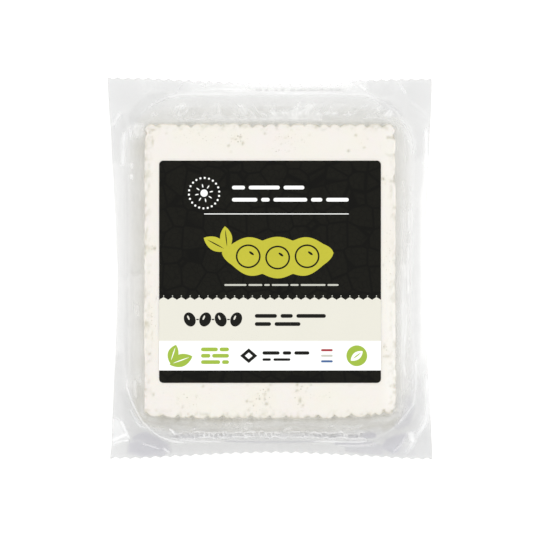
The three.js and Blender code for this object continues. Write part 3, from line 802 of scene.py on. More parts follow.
        # painted shade: darker streaks along the foot
        streak = 3.6 * crest(noise(c12, r / 1.5 + sway, seed + 21, p12), 1.6) * band(1.6, 5.2, 0.7) + 1.6 * crest(
            noise(c26, r / 0.9 + sway, seed + 22, p26), 1.6) * band(4.6, 9.4, 0.6)
        for pts, soft, much in WARM_SHADES:
            olive_shade = np.maximum(olive_shade, much * within(X, Y, pts, soft))
        # painted shade on the upper wall between its whitened folds
        dim = 0.95 * north * (1 - soft1) * band(3.6, 8.8, 1.2)
        return h, white, np.maximum(6.0 * shade, streak) * south + dim, olive_shade

    def whey_and_shade(t):
        """The thin dark line where the film leaves the block: whey held there, with
        painted shade, strongest along the foot.
        """
        r = t * w.width
        reach = (north * 0.36 + south * 1.05 + east * 1.8 + west * 2.2) / share
        much = (north * 0.15 + south * 0.42 + east * 0.14 + west * 0.30) / share
        uneven = 0.45 + 0.9 * fbm(c5, 0.0, 421, 2, p5) + (0.4 + 0.5 * north) * dip
        return np.clip(much * uneven, 0, 1) * np.exp(-((r / (reach * uneven)) ** 2))

    # milkiness of the wall with painted light: whiter near the block, below the upper rim and over the right and upper
    # walls
    def milk_and_highlight(t):
        r = t * w.width
        near = np.exp(-(((w.width - r) / 3.0) ** 2))
        haze = 0.04 + 0.06 * np.exp(-((r / 4.0) ** 2)) + 0.05 * noise(c5, r / 3.0, 441, p5)
        haze = haze + 0.05 * north / share * near
        return haze + (0.11 * east + 0.03 * north) / share * ease(0.8, 3.0, r)

    rim_up = (0.14 + 0.24 * noise(c12, 0.0, 411, p12)) * (0.12 + 0.50 * north + 0.45 * south + w.turn * np.where(w.d[1] < 0, 0.35, 0.05))

    def rim_relief(d):
        """The rim's small ridge and the groove outside it, at d mm from the rim."""
        return rim_up * (np.exp(-((d / 0.6) ** 2)) - 0.5 * np.exp(-(((d - 1.3) / 0.6) ** 2)))

    # -------------------------------------------------------------------- the flange
    flange_width = np.hypot(*(w.o - w.r))

    def flange(t, side):
        x, y = mix(w.r[0], w.o[0], t), mix(w.r[1], w.o[1], t)
        z = flange_z(x, y)
        for cx, cy, lift in CORNERS.values():
            near = np.exp(-((w.o[0] - cx) ** 2 + (w.o[1] - cy) ** 2) / (2 * 9.0**2))
            z = z + lift * near * t * t
        slow = 0.26 * (fbm(x / 15.0, y / 15.0, 401, 2) - 0.5)
        fine = 0.10 * crest(noise(x / 3.0 + 2 * noise(x / 9, y / 9, 404), y / 9.0, 402), 1.4) * (east + west) / share
        fine = fine + 0.05 * crest(noise(x / 12.0, y / 1.6 + 0.6 * noise(x / 9, y / 9, 405), 403), 1.2) * (north + south) / share
        lift, white = folds(x, y)
        ear = np.zeros(n)
        for key, (cx, cy, _) in CORNERS.items():
            d = np.hypot(x - cx, y - cy)
            ear = np.maximum(ear, np.exp(-((d / 21.0) ** 2.4)))
        z = z + (slow + fine * (1 - ear)) * ease(0.0, 0.3, t) + rim_relief(t * flange_width) + lift
        # painted highlight along the rim's ridge
        white = white + 0.6 * rim_up * np.exp(-((t * flange_width / 0.7) ** 2))
        # painted light: more white haze on the top flange, less on the sides, least at the foot
        haze = (0.26 * north + 0.14 * east + 0.09 * west + 0.03 * south) / share * (1 - ear) + 0.03
        # less haze and whiteness along the row of dark dashes on the top flange
        haze = haze * (1 - 0.8 * ease(-12.0, -7.0, x) * ease(31.0, 28.0, x) * np.exp(-(((y - 71.5) / 0.9) ** 2)))
        white = white * (1 - 0.7 * ease(-12.0, -7.0, x) * ease(31.0, 28.0, x) * np.exp(-(((y - 71.5) / 0.7) ** 2)))
        # two patches of painted highlight on the flange near the lower corners
        haze = haze + 0.35 * within(x, y, ((-63.6, -60.0), (-60.6, -60.0), (-57.0, -67.4), (-63.8, -69.4)), 1.2)
        haze = haze + 0.40 * within(x, y, ((55.0, -65.4), (57.8, -65.0), (57.2, -69.0), (55.6, -69.0)), 0.6)
        return x, y, z + side * 0.07, np.clip(haze + white, 0, 0.85), grey_and_shade(x, y)

    def grey_share_with_glare(x, y):
        """The film's share of its full grey, lowered as a painted highlight: clearer
        on the right flange, the middle of the top flange and the middle of the left one."""
        start = 58.9 + 1.4 * ease(26.0, 38.0, y)
        clear = 0.8 * ease(start, start + 2.2, x) * ease(-42.0, -33.0, y) * ease(50.0, 43.0, y)
        clear = clear + ease(-24.0, -8.0, x) * ease(37.0, 29.0, x) * (0.5 * ease(69.8, 71.2, y) + 0.36 * ease(72.4, 73.4, y))
        return 1 - clear - 0.18 * ease(-59.4, -61.5, x) * ease(-38.0, -28.0, y) * ease(52.0, 44.0, y)

    def grey_and_shade(x, y):
        """How grey the film is: deeper in the sealed ears, painted shade along the
        foot, in the listed places and creases, and a row of dark dashes on the top flange.
        """
        total = 1.4 * ease(-60.0, -66.0, y) + 0.5 * ease(-62.0, -65.0, y) * ease(-69.8, -68.8, y)
        for key, much in (("tl", 1.3), ("tr", 1.2), ("bl", 0.3), ("br", 1.9)):
            cx, cy, _ = CORNERS[key]
            total = np.maximum(total, much * np.exp(-((np.hypot(x - cx, y - cy) / 17.0) ** 3)))
        for pts, soft, much in PAINTED_SHADES:
            total = np.maximum(total, much * within(x, y, pts, soft))
        for pts, half, much in SHADE_LINES:
            d, where = near_path(x, y, pts)
            total = np.maximum(total, much * np.exp(-((d / half) ** 2)) * ease(0, 0.1, where) * ease(0, 0.1, 1 - where))
        dashes = np.maximum(ease(0.40, 0.66, noise(x / 1.3, 2.0, 611)), 0.65 * ease(9.0, 14.0, x)) * np.exp(-(((y - 71.4) / 0.6) ** 2))
        total = np.maximum(total, 1.7 * dashes * ease(-12.0, -7.0, x) * ease(31.0, 28.0, x))
        return total

    # ------------------------------------------------- rings of the front, outwards
    start = w.b - w.d * 1.3
    for k in (0.86, 0.93, 0.97):
        x, y = mix(BLOCK_CX, start[0], k), mix(BLOCK_CY, start[1], k)
        ring(x, y, H - 0.02 - 0.06 * noise(x / 7, y / 7, 132) * (k > 0.9), 0.0)
    for inn, drop, damp in ((1.3, 0.04, 0.0), (0.75, 0.14, 0.0), (0.30, 0.42, 0.3), (0.06, 0.85, 0.7)):
        p = w.b - w.d * (inn + 0.35 * dip * (1 if inn < 1 else 0.4))
        ring(p[0], p[1], H - drop - droop - 0.10 * dip, 0.1 if inn > 0.5 else 0.4, whey_and_shade(0.0) * damp, milk_and_highlight(0.0) * damp)
    steps = 38
    for j in range(steps):
        t = ((j + 0.6) / steps) ** 1.15
        x, y, z = wall(t, True)
        nx, ny, nz = wall_normal(t, True)
        h, white, shade, olive_shade = creases(t, True)
        h = h - 0.18 * dip * (1 - ease(0, 0.3, t))
        edge = (1 - t) * w.width
        lift, crease = folds(x, y)
        lift = rim_up * np.exp(-((edge / 0.6) ** 2)) + lift * ease(0.0, 2.0, t * w.width)
        # painted highlight along the rim's ridge, over the folds' whiteness
        white = np.maximum(white, crease) + 0.6 * rim_up * np.exp(-((edge / 0.7) ** 2))
        full = min(1.0, 0.5 + t * 2.5) * (1 - 0.70 * north / share * np.exp(-((t * w.width / 5.0) ** 2)))
        ring(x + nx * h, y + ny * h, z + nz * h + lift, full, np.clip(whey_and_shade(t) + olive_shade, 0, 1),
             np.clip(milk_and_highlight(t) * (1 - 0.6 * clamp01(shade / 4)) + white, 0, 0.85), np.maximum(grey_and_shade(x, y), shade))
    near_rim = [0.0, 0.28, 0.6, 1.0, 1.5]
    for d in near_rim:
        x, y, z, haze, grey = flange(d / flange_width, 1)
        ring(x, y, z, grey_share_with_glare(x, y), 0.0, haze, grey)
    steps = 27
    levels = [(j + 1) / steps for j in range(steps)]
    for k in levels:
        x, y, z, haze, grey = flange(mix(near_rim[-1] / flange_width, 1.0, k), 1)
        ring(x, y, z, grey_share_with_glare(x, y), 0.0, haze, grey)
    x, y, z, haze, grey = flange(1.0, -1)
    ring(x, y, z, grey_share_with_glare(x, y), 0.0, haze, grey)
    fine_rings = len(rings)

    # ------------------------------- rings of the back, inwards, with half the points
    steps = 13
    for j in range(1, steps):
        x, y, z, haze, grey = flange(mix(near_rim[-1] / flange_width, 1.0, 1 - j / steps), -1)
        ring(x, y, z, grey_share_with_glare(x, y), 0.0, haze * 0.7, grey)
    for d in (0.9, 0.45, 0.0):
        x, y, z, haze, grey = flange(d / flange_width, -1)
        ring(x, y, z, grey_share_with_glare(x, y), 0.0, haze * 0.7, grey)
    steps = 18
    for j in reversed(range(steps)):
        t = ((j + 0.6) / steps) ** 1.15
        x, y, z = wall(t, False)
        nx, ny, nz = wall_normal(t, False)
        h, white, _, _ = creases(t, False)
        h = h - 0.18 * dip * (1 - ease(0, 0.3, t))
        ring(x + nx * h, y + ny * h, np.maximum(z + nz * h, 0.05), min(1.0, 0.5 + t * 2.5), whey_and_shade(t) * 0.5,
             milk_and_highlight(t) * 0.5 + 0.5 * white, grey_and_shade(x, y))
    for inn, drop in ((0.06, 0.85), (0.30, 0.42), (0.75, 0.14), (1.3, 0.02)):
        p = w.b - w.d * (inn + 0.35 * dip * (1 if inn < 1 else 0.4))
        ring(p[0], p[1], drop, 0.4 if inn < 0.5 else 0.1)
    ring(mix(BLOCK_CX, start[0], 0.96), mix(BLOCK_CY, start[1], 0.96), 0.0, 0.0)

    data, faces, first = [], [], []
    for j, r in enumerate(rings):
        first.append(sum(len(d) for d in data))
        data.append(r if j < fine_rings else r[::2])
    for j in range(len(rings) - 1):
        a, b, na, nb = first[j], first[j + 1], len(data[j]), len(data[j + 1])
        if na == nb:
            k = np.arange(na)
            q = (k + 1) % na
            faces.append(np.stack([a + k, b + k, b + q, a + q], 1))
        else:
            k = np.arange(nb)
            q = (k + 1) % nb
            a0, a1, a2 = a + 2 * k, a + 2 * k + 1, a + (2 * k + 2) % na
            faces.append(np.stack([a0, b + k, a1], 1))
            faces.append(np.stack([a1, b + k, b + q], 1))
            faces.append(np.stack([a1, b + q, a2], 1))
    data = np.concatenate(data)
    top_mid, low_mid = len(data), len(data) + 1
    data = np.concatenate([data, [[BLOCK_CX, BLOCK_CY, H - 0.02, 0, 0, 0, 0], [BLOCK_CX, BLOCK_CY, 0.0, 0, 0, 0, 0]]])
    k = np.arange(n)
    faces.append(np.stack([np.full(n, top_mid), k, (k + 1) % n], 1))
    k, half = np.arange(n // 2), n // 2
    faces.append(np.stack([np.full(half, low_mid), first[-1] + (k + 1) % half, first[-1] + k], 1))
    ob = make_mesh("clear_film", data[:, :3], faces)
    for i, name in enumerate(("air", "whey_and_shade", "milk_and_highlight", "grey_and_shade")):
        point_attribute(ob, name, data[:, 3 + i])
    return ob


# ---------------------------------------------------------------- the label's print
# The label's own frame: mm from its middle, +Y up.
def px(x, y):
    """A place on a 540-unit square sheet, turned into label mm."""
    return (x - 270.1) * 0.395, (271.75 - y) * 0.395


def poly_round_rect(x0, y0, x1, y1, r, n=5):
    pts = []
    for cx, cy, a0 in ((x1 - r, y1 - r, 0), (x0 + r, y1 - r, 90), (x0 + r, y0 + r, 180), (x1 - r, y0 + r, 270)):
        for i in range(n + 1):
            a = math.radians(a0 + 90 * i / n)
            pts.append((cx + r * math.cos(a), cy + r * math.sin(a)))
    return pts


def poly_bar(cx, cy, w, h, r=None):
    r = min(w, h) / 2 * 0.98 if r is None else r
    return poly_round_rect(cx - w / 2, cy - h / 2, cx + w / 2, cy + h / 2, r, 4)


def poly_ellipse(cx, cy, a, b, turn=0.0, n=28):
    c, s = math.cos(turn), math.sin(turn)
    return [
        (cx + a * math.cos(t) * c - b * math.sin(t) * s, cy + a * math.cos(t) * s + b * math.sin(t) * c)
        for t in (2 * math.pi * i / n for i in range(n))
    ]


def poly_leaf(cx, cy, length, width, turn, n=12):
    """A pointed leaf from (cx, cy), growing in the direction turn."""
    pts = []
    for i in range(n + 1):
        t = i / n
        pts.append((t * length, width / 2 * math.sin(math.pi * t) ** 0.8))
    for i in range(1, n):
        t = 1 - i / n
        pts.append((t * length, -width / 2 * math.sin(math.pi * t) ** 0.8))
    c, s = math.cos(turn), math.sin(turn)
    return [(cx + x * c - y * s, cy + x * s + y * c) for x, y in pts]


def poly_pod(cx, cy, length, height, beans, bend, n=90):
    """A pod lying along X, swollen over each bean, with drawn-out tips."""
    up, low = [], []
    for i in range(n + 1):
        t = i / n
        u = 2 * t - 1
        taper = max(0.0, 1 - abs(u) ** 3.2) ** 0.62
        swell = 0.80 + 0.20 * abs(math.sin(math.pi * beans * min(max((t - 0.09) / 0.82, 0), 1)))
        half = height / 2 * taper * swell
        mid = cy + bend * (1 - u * u)
        x = cx + u * length / 2
        up.append((x, mid + half))
        low.append((x, mid - half))
    return low + up[::-1][1:-1]


def build_label():
    half_w, half_l = LABEL_W / 2, LABEL_L / 2
    shapes = []  # (material, outline), later ones lie on top

    def add(slot, pts):
        shapes.append((slot, pts))

    whole = poly_round_rect(-half_w, -half_l, half_w, half_l, LABEL_R, 8)
    add("black", whole)
    # white band, then the pale one with its scalloped upper edge
    _, y_white = px(0, 370.2)
    _, y_pale = px(0, 340.7)
    _, y_crest = px(0, 297.2)
    add("white", [(-half_w, y_white), (half_w, y_white), (half_w, y_pale), (-half_w, y_pale)])
    pts = [(-half_w, y_pale), (half_w, y_pale)]
    pitch, depth, per = 8.9 * 0.395, 1.02, 12
    count = round(LABEL_W / pitch)
    pitch = LABEL_W / count
    for i in range(count * per + 1):
        x = half_w - LABEL_W * i / (count * per)
        ph = (i / per) % 1.0
        tip = 0.74 * math.sin(math.pi * ph) ** 0.9 + 0.26 * math.exp(-(((ph - 0.5) / 0.12) ** 2))
        pts.append((x, y_crest - depth + depth * tip))
    add("pale", pts)
    for i in range(count):
        x = -half_w + pitch * (i + 0.5)
        add("grey", poly_ellipse(x, y_crest + 0.52, 0.21, 0.27, n=10))

    # small print, as plain bars
    def bars(slot, y, x0, x1, lengths, height, gap):
        total = sum(lengths)
        k = (x1 - x0 - gap * (len(lengths) - 1)) / total
        x = x0
        for l in lengths:
            add(slot, poly_bar(x + l * k / 2, y, l * k, height))
            x += l * k + gap

    # dark field: a small sun in a ring of dots, and two lines of bars beside it
    rx, ry = -26.0, 31.0
    for i in range(22):
        a = 2 * math.pi * i / 22 + 0.1
        add("white", poly_ellipse(rx + 6.0 * math.cos(a), ry + 6.0 * math.sin(a), 0.42, 0.42, n=10))
    add("white", poly_ellipse(rx, ry, 1.45, 1.45, n=20))
    for i in range(8):
        a = math.pi * i / 4 + 0.2
        add("white", poly_ellipse(rx + 2.9 * math.cos(a), ry + 2.9 * math.sin(a), 0.75, 0.24, a, n=10))
    bars("white", 33.2, -15.0, 13.5, (5, 12, 8), 1.45, 1.5)
    bars("white", 28.4, -15.0, 31.0, (9, 3, 12, 4, 8), 1.45, 1.5)
    add("white", poly_bar(2.5, 22.8, 57.0, 0.34, 0.1))

    # a pod with three beans, and two leaves on a short stalk over one end
    cx, cy = 3.0, 7.4
    add("yellow", poly_pod(cx, cy, 44.0, 16.4, 3, -1.8))
    for bx in (-11.6, 0.0, 11.6):
        by = cy - 1.8 * (1 - (bx / 22.0) ** 2)
        add("black", poly_ellipse(cx + bx, by, 4.9, 4.7, n=36))
        add("yellow", poly_ellipse(cx + bx, by, 4.25, 4.05, n=36))
        add("black", poly_ellipse(cx + bx + 1.3, by + 1.2, 1.15, 0.45, math.radians(-35), n=14))
    lx, ly = cx - 20.2, cy + 1.0
    add("yellow", poly_leaf(lx + 0.4, ly, 10.6, 5.4, math.radians(152)))
    add("yellow", poly_leaf(lx + 0.4, ly, 9.6, 4.8, math.radians(96)))
    add("black", poly_leaf(lx - 0.9, ly + 0.7, 7.6, 0.45, math.radians(152)))
    add("black", poly_leaf(lx + 0.25, ly + 1.5, 6.8, 0.42, math.radians(96)))
    bars("grey", -5.2, -18.0, 27.0, (8, 5, 2, 6, 3, 9, 4), 0.7, 0.8)

    # pale band: dark beans on a stem, and two bars
    bcx, bcy = -22.5, -18.8
    for i in range(4):
        x = bcx + (i - 1.5) * 6.1
        add("ink", poly_ellipse(x, bcy, 2.25, 2.9, math.radians(-24 if i % 2 else 24), n=26))
        add("pale", poly_ellipse(x - 0.55, bcy + 0.7, 0.34, 0.95, math.radians(-24 if i % 2 else 24), n=12))
    for i in range(3):
        add("ink", poly_bar(bcx + (i - 1) * 6.1, bcy, 1.1, 0.5))
    bars("ink", bcy + 1.4, -6.0, 22.0, (9, 5, 12), 1.5, 1.4)
    bars("ink", bcy - 1.8, -6.0, 12.0, (5, 8), 1.5, 1.4)

    # white band: two leaves, green bars, a dark lozenge with bars, a round badge
    add("green", poly_leaf(-39.6, -36.6, 9.6, 5.0, math.radians(20)))
    add("green", poly_leaf(-39.4, -36.0, 7.6, 4.2, math.radians(72)))
    add("white", poly_leaf(-38.4, -36.1, 7.0, 0.42, math.radians(20)))
    add("white", poly_leaf(-39.0, -34.9, 5.4, 0.40, math.radians(72)))
    for row, ls in enumerate(((9, 5), (5, 9), (11, 4))):
        bars("green", -30.6 - row * 2.5, -27.2, -16.2, ls, 1.5, 0.7)
    lx, ly = -8.4, -33.1
    add("ink", [(lx - 3.4, ly), (lx, ly - 2.9), (lx + 3.4, ly), (lx, ly + 2.9)])
    add("white", [(lx - 1.5, ly), (lx, ly - 1.3), (lx + 1.5, ly), (lx, ly + 1.3)])
    bars("ink", -32.0, -3.0, 15.5, (8, 4, 7), 1.35, 1.2)
    bars("ink", -34.6, -3.0, 8.0, (3, 6), 1.0, 1.0)
    for slot, y in (("red", -30.9), ("grey", -33.1), ("blue", -35.3)):
        add(slot, poly_bar(22.4, y, 4.6, 0.85))
    gx, gy = 34.2, -33.1
    add("green", poly_ellipse(gx, gy, 4.1, 4.1, n=36))
    add("white", poly_leaf(gx - 2.4, gy - 1.9, 6.0, 3.0, math.radians(38)))
    add("green", poly_leaf(gx - 1.5, gy - 1.2, 4.0, 0.45, math.radians(38)))

    # one flat mesh from all the outlines, and a coarse grid so that it can bend
    verts, faces = [], []
    for _, pts in shapes:
        area = sum(p[0] * q[1] - q[0] * p[1] for p, q in zip(pts, pts[1:] + pts[:1]))
        pts = pts if area > 0 else pts[::-1]
        faces.append(list(range(len(verts), len(verts) + len(pts))))
        verts += pts
    gx, gy = np.meshgrid(np.arange(-42, 42.1, 3.0), np.arange(-42, 42.1, 3.0))
    rng = np.random.default_rng(3)
    grid = np.stack([gx.ravel(), gy.ravel()], 1) + rng.uniform(-0.3, 0.3, (gx.size, 2))
    verts = [tuple(v) for v in verts] + [tuple(v) for v in grid]
    out_v, _, out_f, _, _, orig = delaunay_2d_cdt(verts, [], faces, 1, 1e-5, True)
    xy = np.array([tuple(v) for v in out_v])
    tris = np.array([list(f) for f in out_f], np.int64)
    top_of = np.array([max(o) for o in orig])
    # outline order, for the cut edge
    edges = {}
    for a, b, c in tris:
        for p, q in ((a, b), (b, c), (c, a)):
            edges[(p, q)] = edges.get((p, q), 0) + 1
    border = [(p, q) for (p, q) in edges if (q, p) not in edges]
    n = len(xy)
    z_top = BLOCK_H + 0.20 + 0.018 * (noise(xy[:, 0] / 16, xy[:, 1] / 16, 501) - 0.5)
    X, Y = xy[:, 0] + LABEL_CX, xy[:, 1] + LABEL_CY
    v = np.concatenate([np.stack([X, Y, z_top], 1), np.stack([X, Y, np.full(n, BLOCK_H + 0.005)], 1)])
    walls = np.array([[p, q, q + n, p + n] for p, q in border])[:, [0, 3, 2, 1]]
    ob = make_mesh("printed_label", v, [tris, tris[:, ::-1] + n, walls], smooth=False)
    slots = ["black", "white", "pale", "grey", "yellow", "green", "blue", "red", "ink", "paper"]
    number = {s: i for i, s in enumerate(slots)}
    kind = np.array([number[shapes[k][0]] for k in top_of])
    index = np.concatenate([kind, np.full(len(tris), number["paper"]), np.full(len(walls), number["paper"])])
    ob.data.polygons.foreach_set("material_index", index.astype(np.int32))
    return ob, slots


# ------------------------------------------------------------------------ materials
def new_material(name):
    m = bpy.data.materials.new(name)
    m.use_nodes = True
    nt = m.node_tree
    nt.nodes.clear()
    out = nt.nodes.new("ShaderNodeOutputMaterial")
    return m, nt, out


def node(nt, kind, **settings):
    n = nt.nodes.new(kind)
    for k, v in settings.items():
        if k in ("inputs", "links"):
            continue
        setattr(n, k, v)
    for k, v in settings.get("inputs", {}).items():
        n.inputs[k].default_value = v
    for k, v in settings.get("links", {}).items():
        nt.links.new(v, n.inputs[k])
    return n


def math_node(nt, op, a, b=None, c=None, clamp=False):
    n = nt.nodes.new("ShaderNodeMath")
    n.operation = op
    n.use_clamp = clamp
    for i, v in enumerate((a, b, c)):
        if v is None:
            continue
        if isinstance(v, (int, float)):
            n.inputs[i].default_value = v
        else:
            nt.links.new(v, n.inputs[i])
    return n.outputs[0]


def mix_colour(nt, fac, a, b, blend="MIX"):
    n = nt.nodes.new("ShaderNodeMix")
    n.data_type = "RGBA"
    n.blend_type = blend
    for socket, v in ((n.inputs[0], fac), (n.inputs[6], a), (n.inputs[7], b)):
        if isinstance(v, (int, float)):
            socket.default_value = v
        elif isinstance(v, tuple):
            socket.default_value = (*v, 1.0) if len(v) == 3 else v
        else:
            nt.links.new(v, socket)
    return n.outputs[2]


def ramp(nt, fac, stops):
    n = nt.nodes.new("ShaderNodeValToRGB")
    e = n.color_ramp.elements
    while len(e) < len(stops):
        e.new(0.5)
    for el, (pos, val) in zip(e, stops):
        el.position = pos
        el.color = (val, val, val, 1) if isinstance(val, (int, float)) else (*val, 1)
    nt.links.new(fac, n.inputs[0])
    return n.outputs[0]


def object_coords(nt):
    return nt.nodes.new("ShaderNodeTexCoord").outputs["Object"]


def noise_tex(nt, vec, scale, detail=3.0, rough=0.5, distortion=0.0):
    n = node(nt, "ShaderNodeTexNoise", inputs={"Scale": scale, "Detail": detail, "Roughness": rough, "Distortion": distortion})
    nt.links.new(vec, n.inputs["Vector"])
    return n.outputs["Fac"]


def tofu_material():
    m, nt, out = new_material("pressed_tofu")
    co = object_coords(nt)
    attr = lambda name: node(nt, "ShaderNodeAttribute", attribute_name=name).outputs["Fac"]
    hollow_shade, notch, rim = attr("hollow_shade"), attr("notch"), attr("rim")
    broad = noise_tex(nt, co, 60.0, 3.0, 0.55)
    patch = noise_tex(nt, co, 230.0, 3.0, 0.6)
    grain = noise_tex(nt, co, 1500.0, 2.0, 0.6)
    base = mix_colour(nt, ramp(nt, broad, [(0.35, 0.0), (0.65, 1.0)]), (0.764, 0.737, 0.680), (0.766, 0.724, 0.698))
    base = mix_colour(nt, ramp(nt, patch, [(0.42, 0.0), (0.72, 0.55)]), base, (0.752, 0.736, 0.662))
    # painted highlight: the lighter strip along the block's right edge
    base = mix_colour(nt, attr("edge_highlight_strip"), base, (0.815, 0.797, 0.757))
    # small pores, sunk in the bump and darkened with painted shade
    pores = node(nt, "ShaderNodeTexVoronoi", feature="F1", voronoi_dimensions="2D", inputs={"Scale": 800.0, "Randomness": 1.0})
    nt.links.new(co, pores.inputs["Vector"])
    spots = ramp(nt, noise_tex(nt, co, 95.0, 3.0, 0.6), [(0.52, 0.0), (0.75, 0.7)])
    many = math_node(nt, "MAXIMUM", attr("crowd"), spots)
    odd = node(nt, "ShaderNodeSeparateColor")
    nt.links.new(pores.outputs["Color"], odd.inputs[0])
    size = math_node(nt, "MULTIPLY", many, ramp(nt, odd.outputs[0], [(0.30, 0.0), (1.0, 1.0)]))
    pore = math_node(nt, "SUBTRACT", math_node(nt, "MULTIPLY", size, 0.30), pores.outputs["Distance"])
    pore = math_node(nt, "MULTIPLY", pore, 14.0, clamp=True)
    base = mix_colour(nt, math_node(nt, "MULTIPLY", attr("crowd"), 0.30), base, (0.76, 0.72, 0.61))
    # painted shade in the pits, cracks and crumbled parts of the faces
    base = mix_colour(nt, math_node(nt, "MULTIPLY", hollow_shade, 0.7), base, (0.50, 0.475, 0.37))
    base = mix_colour(nt, math_node(nt, "MULTIPLY", pore, 0.9), base, (0.36, 0.335, 0.25))
    # painted shade along the block's rounded edges
    edge_shade = math_node(nt, "MULTIPLY", math_node(nt, "POWER", rim, 2.5), math_node(nt, "ADD", 0.25, math_node(nt, "MULTIPLY", patch, 0.6)))
    base = mix_colour(nt, edge_shade, base, (0.57, 0.545, 0.46))
    # painted shade in the notches along the block's edges
    notch_shade = math_node(nt, "MULTIPLY", math_node(nt, "MULTIPLY", notch, rim), 0.75, clamp=True)
    base = mix_colour(nt, notch_shade, base, (0.37, 0.355, 0.265))
    bump = node(nt, "ShaderNodeBump", inputs={"Strength": 0.35, "Distance": 0.0004})
    height = math_node(nt, "ADD", math_node(nt, "MULTIPLY", grain, 0.35), math_node(nt, "MULTIPLY", patch, 0.8))
    height = math_node(nt, "SUBTRACT", height, math_node(nt, "MULTIPLY", pore, 1.2))
    nt.links.new(height, bump.inputs["Height"])
    rough = math_node(nt, "ADD", 0.42, math_node(nt, "MULTIPLY", patch, 0.2))
    p = node(nt, "ShaderNodeBsdfPrincipled", inputs={
        "Subsurface Weight": 0.12, "Subsurface Scale": 0.001, "IOR": 1.4, "Specular IOR Level": 0.2})
    p.inputs["Subsurface Radius"].default_value = (1.4, 1.0, 0.7)
    nt.links.new(base, p.inputs["Base Color"])
    nt.links.new(rough, p.inputs["Roughness"])
    nt.links.new(bump.outputs[0], p.inputs["Normal"])
    nt.links.new(p.outputs[0], out.inputs[0])
    return m


def film_material():
    m, nt, out = new_material("clear_film")
    co = object_coords(nt)
    attr = lambda name: node(nt, "ShaderNodeAttribute", attribute_name=name).outputs["Fac"]
    air, whey_and_shade, milk_and_highlight, grey_and_shade = attr("air"), attr("whey_and_shade"), attr("milk_and_highlight"), attr("grey_and_shade")
    fine = noise_tex(nt, co, 520.0, 2.0, 0.5)
    slow = noise_tex(nt, co, 120.0, 2.0, 0.5)
    bump = node(nt, "ShaderNodeBump", inputs={"Strength": 0.5, "Distance": 0.00025})
    nt.links.new(math_node(nt, "ADD", math_node(nt, "MULTIPLY", fine, 0.35), slow), bump.inputs["Height"])
    # thin film: the same reflectance from both of its sides
    layer = node(nt, "ShaderNodeLayerWeight", inputs={"Blend": 0.5})
    nt.links.new(bump.outputs[0], layer.inputs["Normal"])
    gain = math_node(nt, "ADD", 0.35, math_node(nt, "MULTIPLY", math_node(nt, "POWER", air, 2.0), 1.15))
    steep = math_node(nt, "POWER", layer.outputs["Facing"], 5.0)
    mirror = math_node(nt, "ADD", 0.04, math_node(nt, "MULTIPLY", steep, 0.96))
    mirror = math_node(nt, "MULTIPLY", mirror, gain, clamp=True)
    slope = math_node(nt, "POWER", layer.outputs["Facing"], 0.85)
    slope = math_node(nt, "MULTIPLY", slope, math_node(nt, "ADD", 0.05, math_node(nt, "MULTIPLY", air, 0.95)))
    tint = mix_colour(nt, air, (0.994, 0.994, 0.992), (0.905, 0.905, 0.904))
    # painted shade greys the film, lavender in the deepest patches and near black in the darkest crumple cells
    deep = ramp(nt, math_node(nt, "MULTIPLY", grey_and_shade, 0.25), [(0.45, 0.0), (0.75, 1.0)])
    grey = mix_colour(nt, deep, (0.70, 0.70, 0.703), (0.71, 0.705, 0.735))
    tint = mix_colour(nt, math_node(nt, "MULTIPLY", grey_and_shade, 0.2, clamp=True), tint, grey)
    tint = mix_colour(nt, math_node(nt, "MULTIPLY", math_node(nt, "SUBTRACT", grey_and_shade, 4.4), 0.4, clamp=True), tint, (0.55, 0.55, 0.555))
    tint = mix_colour(nt, slope, tint, (0.83, 0.826, 0.80))
    # whey and warm painted shade tint the film olive
    tint = mix_colour(nt, whey_and_shade, tint, (0.54, 0.505, 0.405))
    clear = node(nt, "ShaderNodeBsdfTransparent")
    nt.links.new(tint, clear.inputs[0])
    haze = node(nt, "ShaderNodeBsdfDiffuse", inputs={"Color": (0.93, 0.93, 0.93, 1)})
    nt.links.new(bump.outputs[0], haze.inputs["Normal"])
    # milkiness and painted highlights, as a white diffuse layer
    milky = node(nt, "ShaderNodeMixShader")
    nt.links.new(math_node(nt, "MULTIPLY", milk_and_highlight, math_node(nt, "ADD", 0.7, math_node(nt, "MULTIPLY", slow, 0.6))), milky.inputs[0])
    nt.links.new(clear.outputs[0], milky.inputs[1])
    nt.links.new(haze.outputs[0], milky.inputs[2])
    gloss = node(nt, "ShaderNodeBsdfGlossy", inputs={"Color": (1, 1, 1, 1), "Roughness": 0.27})
    nt.links.new(bump.outputs[0], gloss.inputs["Normal"])
    both = node(nt, "ShaderNodeMixShader")
    nt.links.new(mirror, both.inputs[0])
    nt.links.new(milky.outputs[0], both.inputs[1])
    nt.links.new(gloss.outputs[0], both.inputs[2])
    nt.links.new(both.outputs[0], out.inputs[0])
    return m


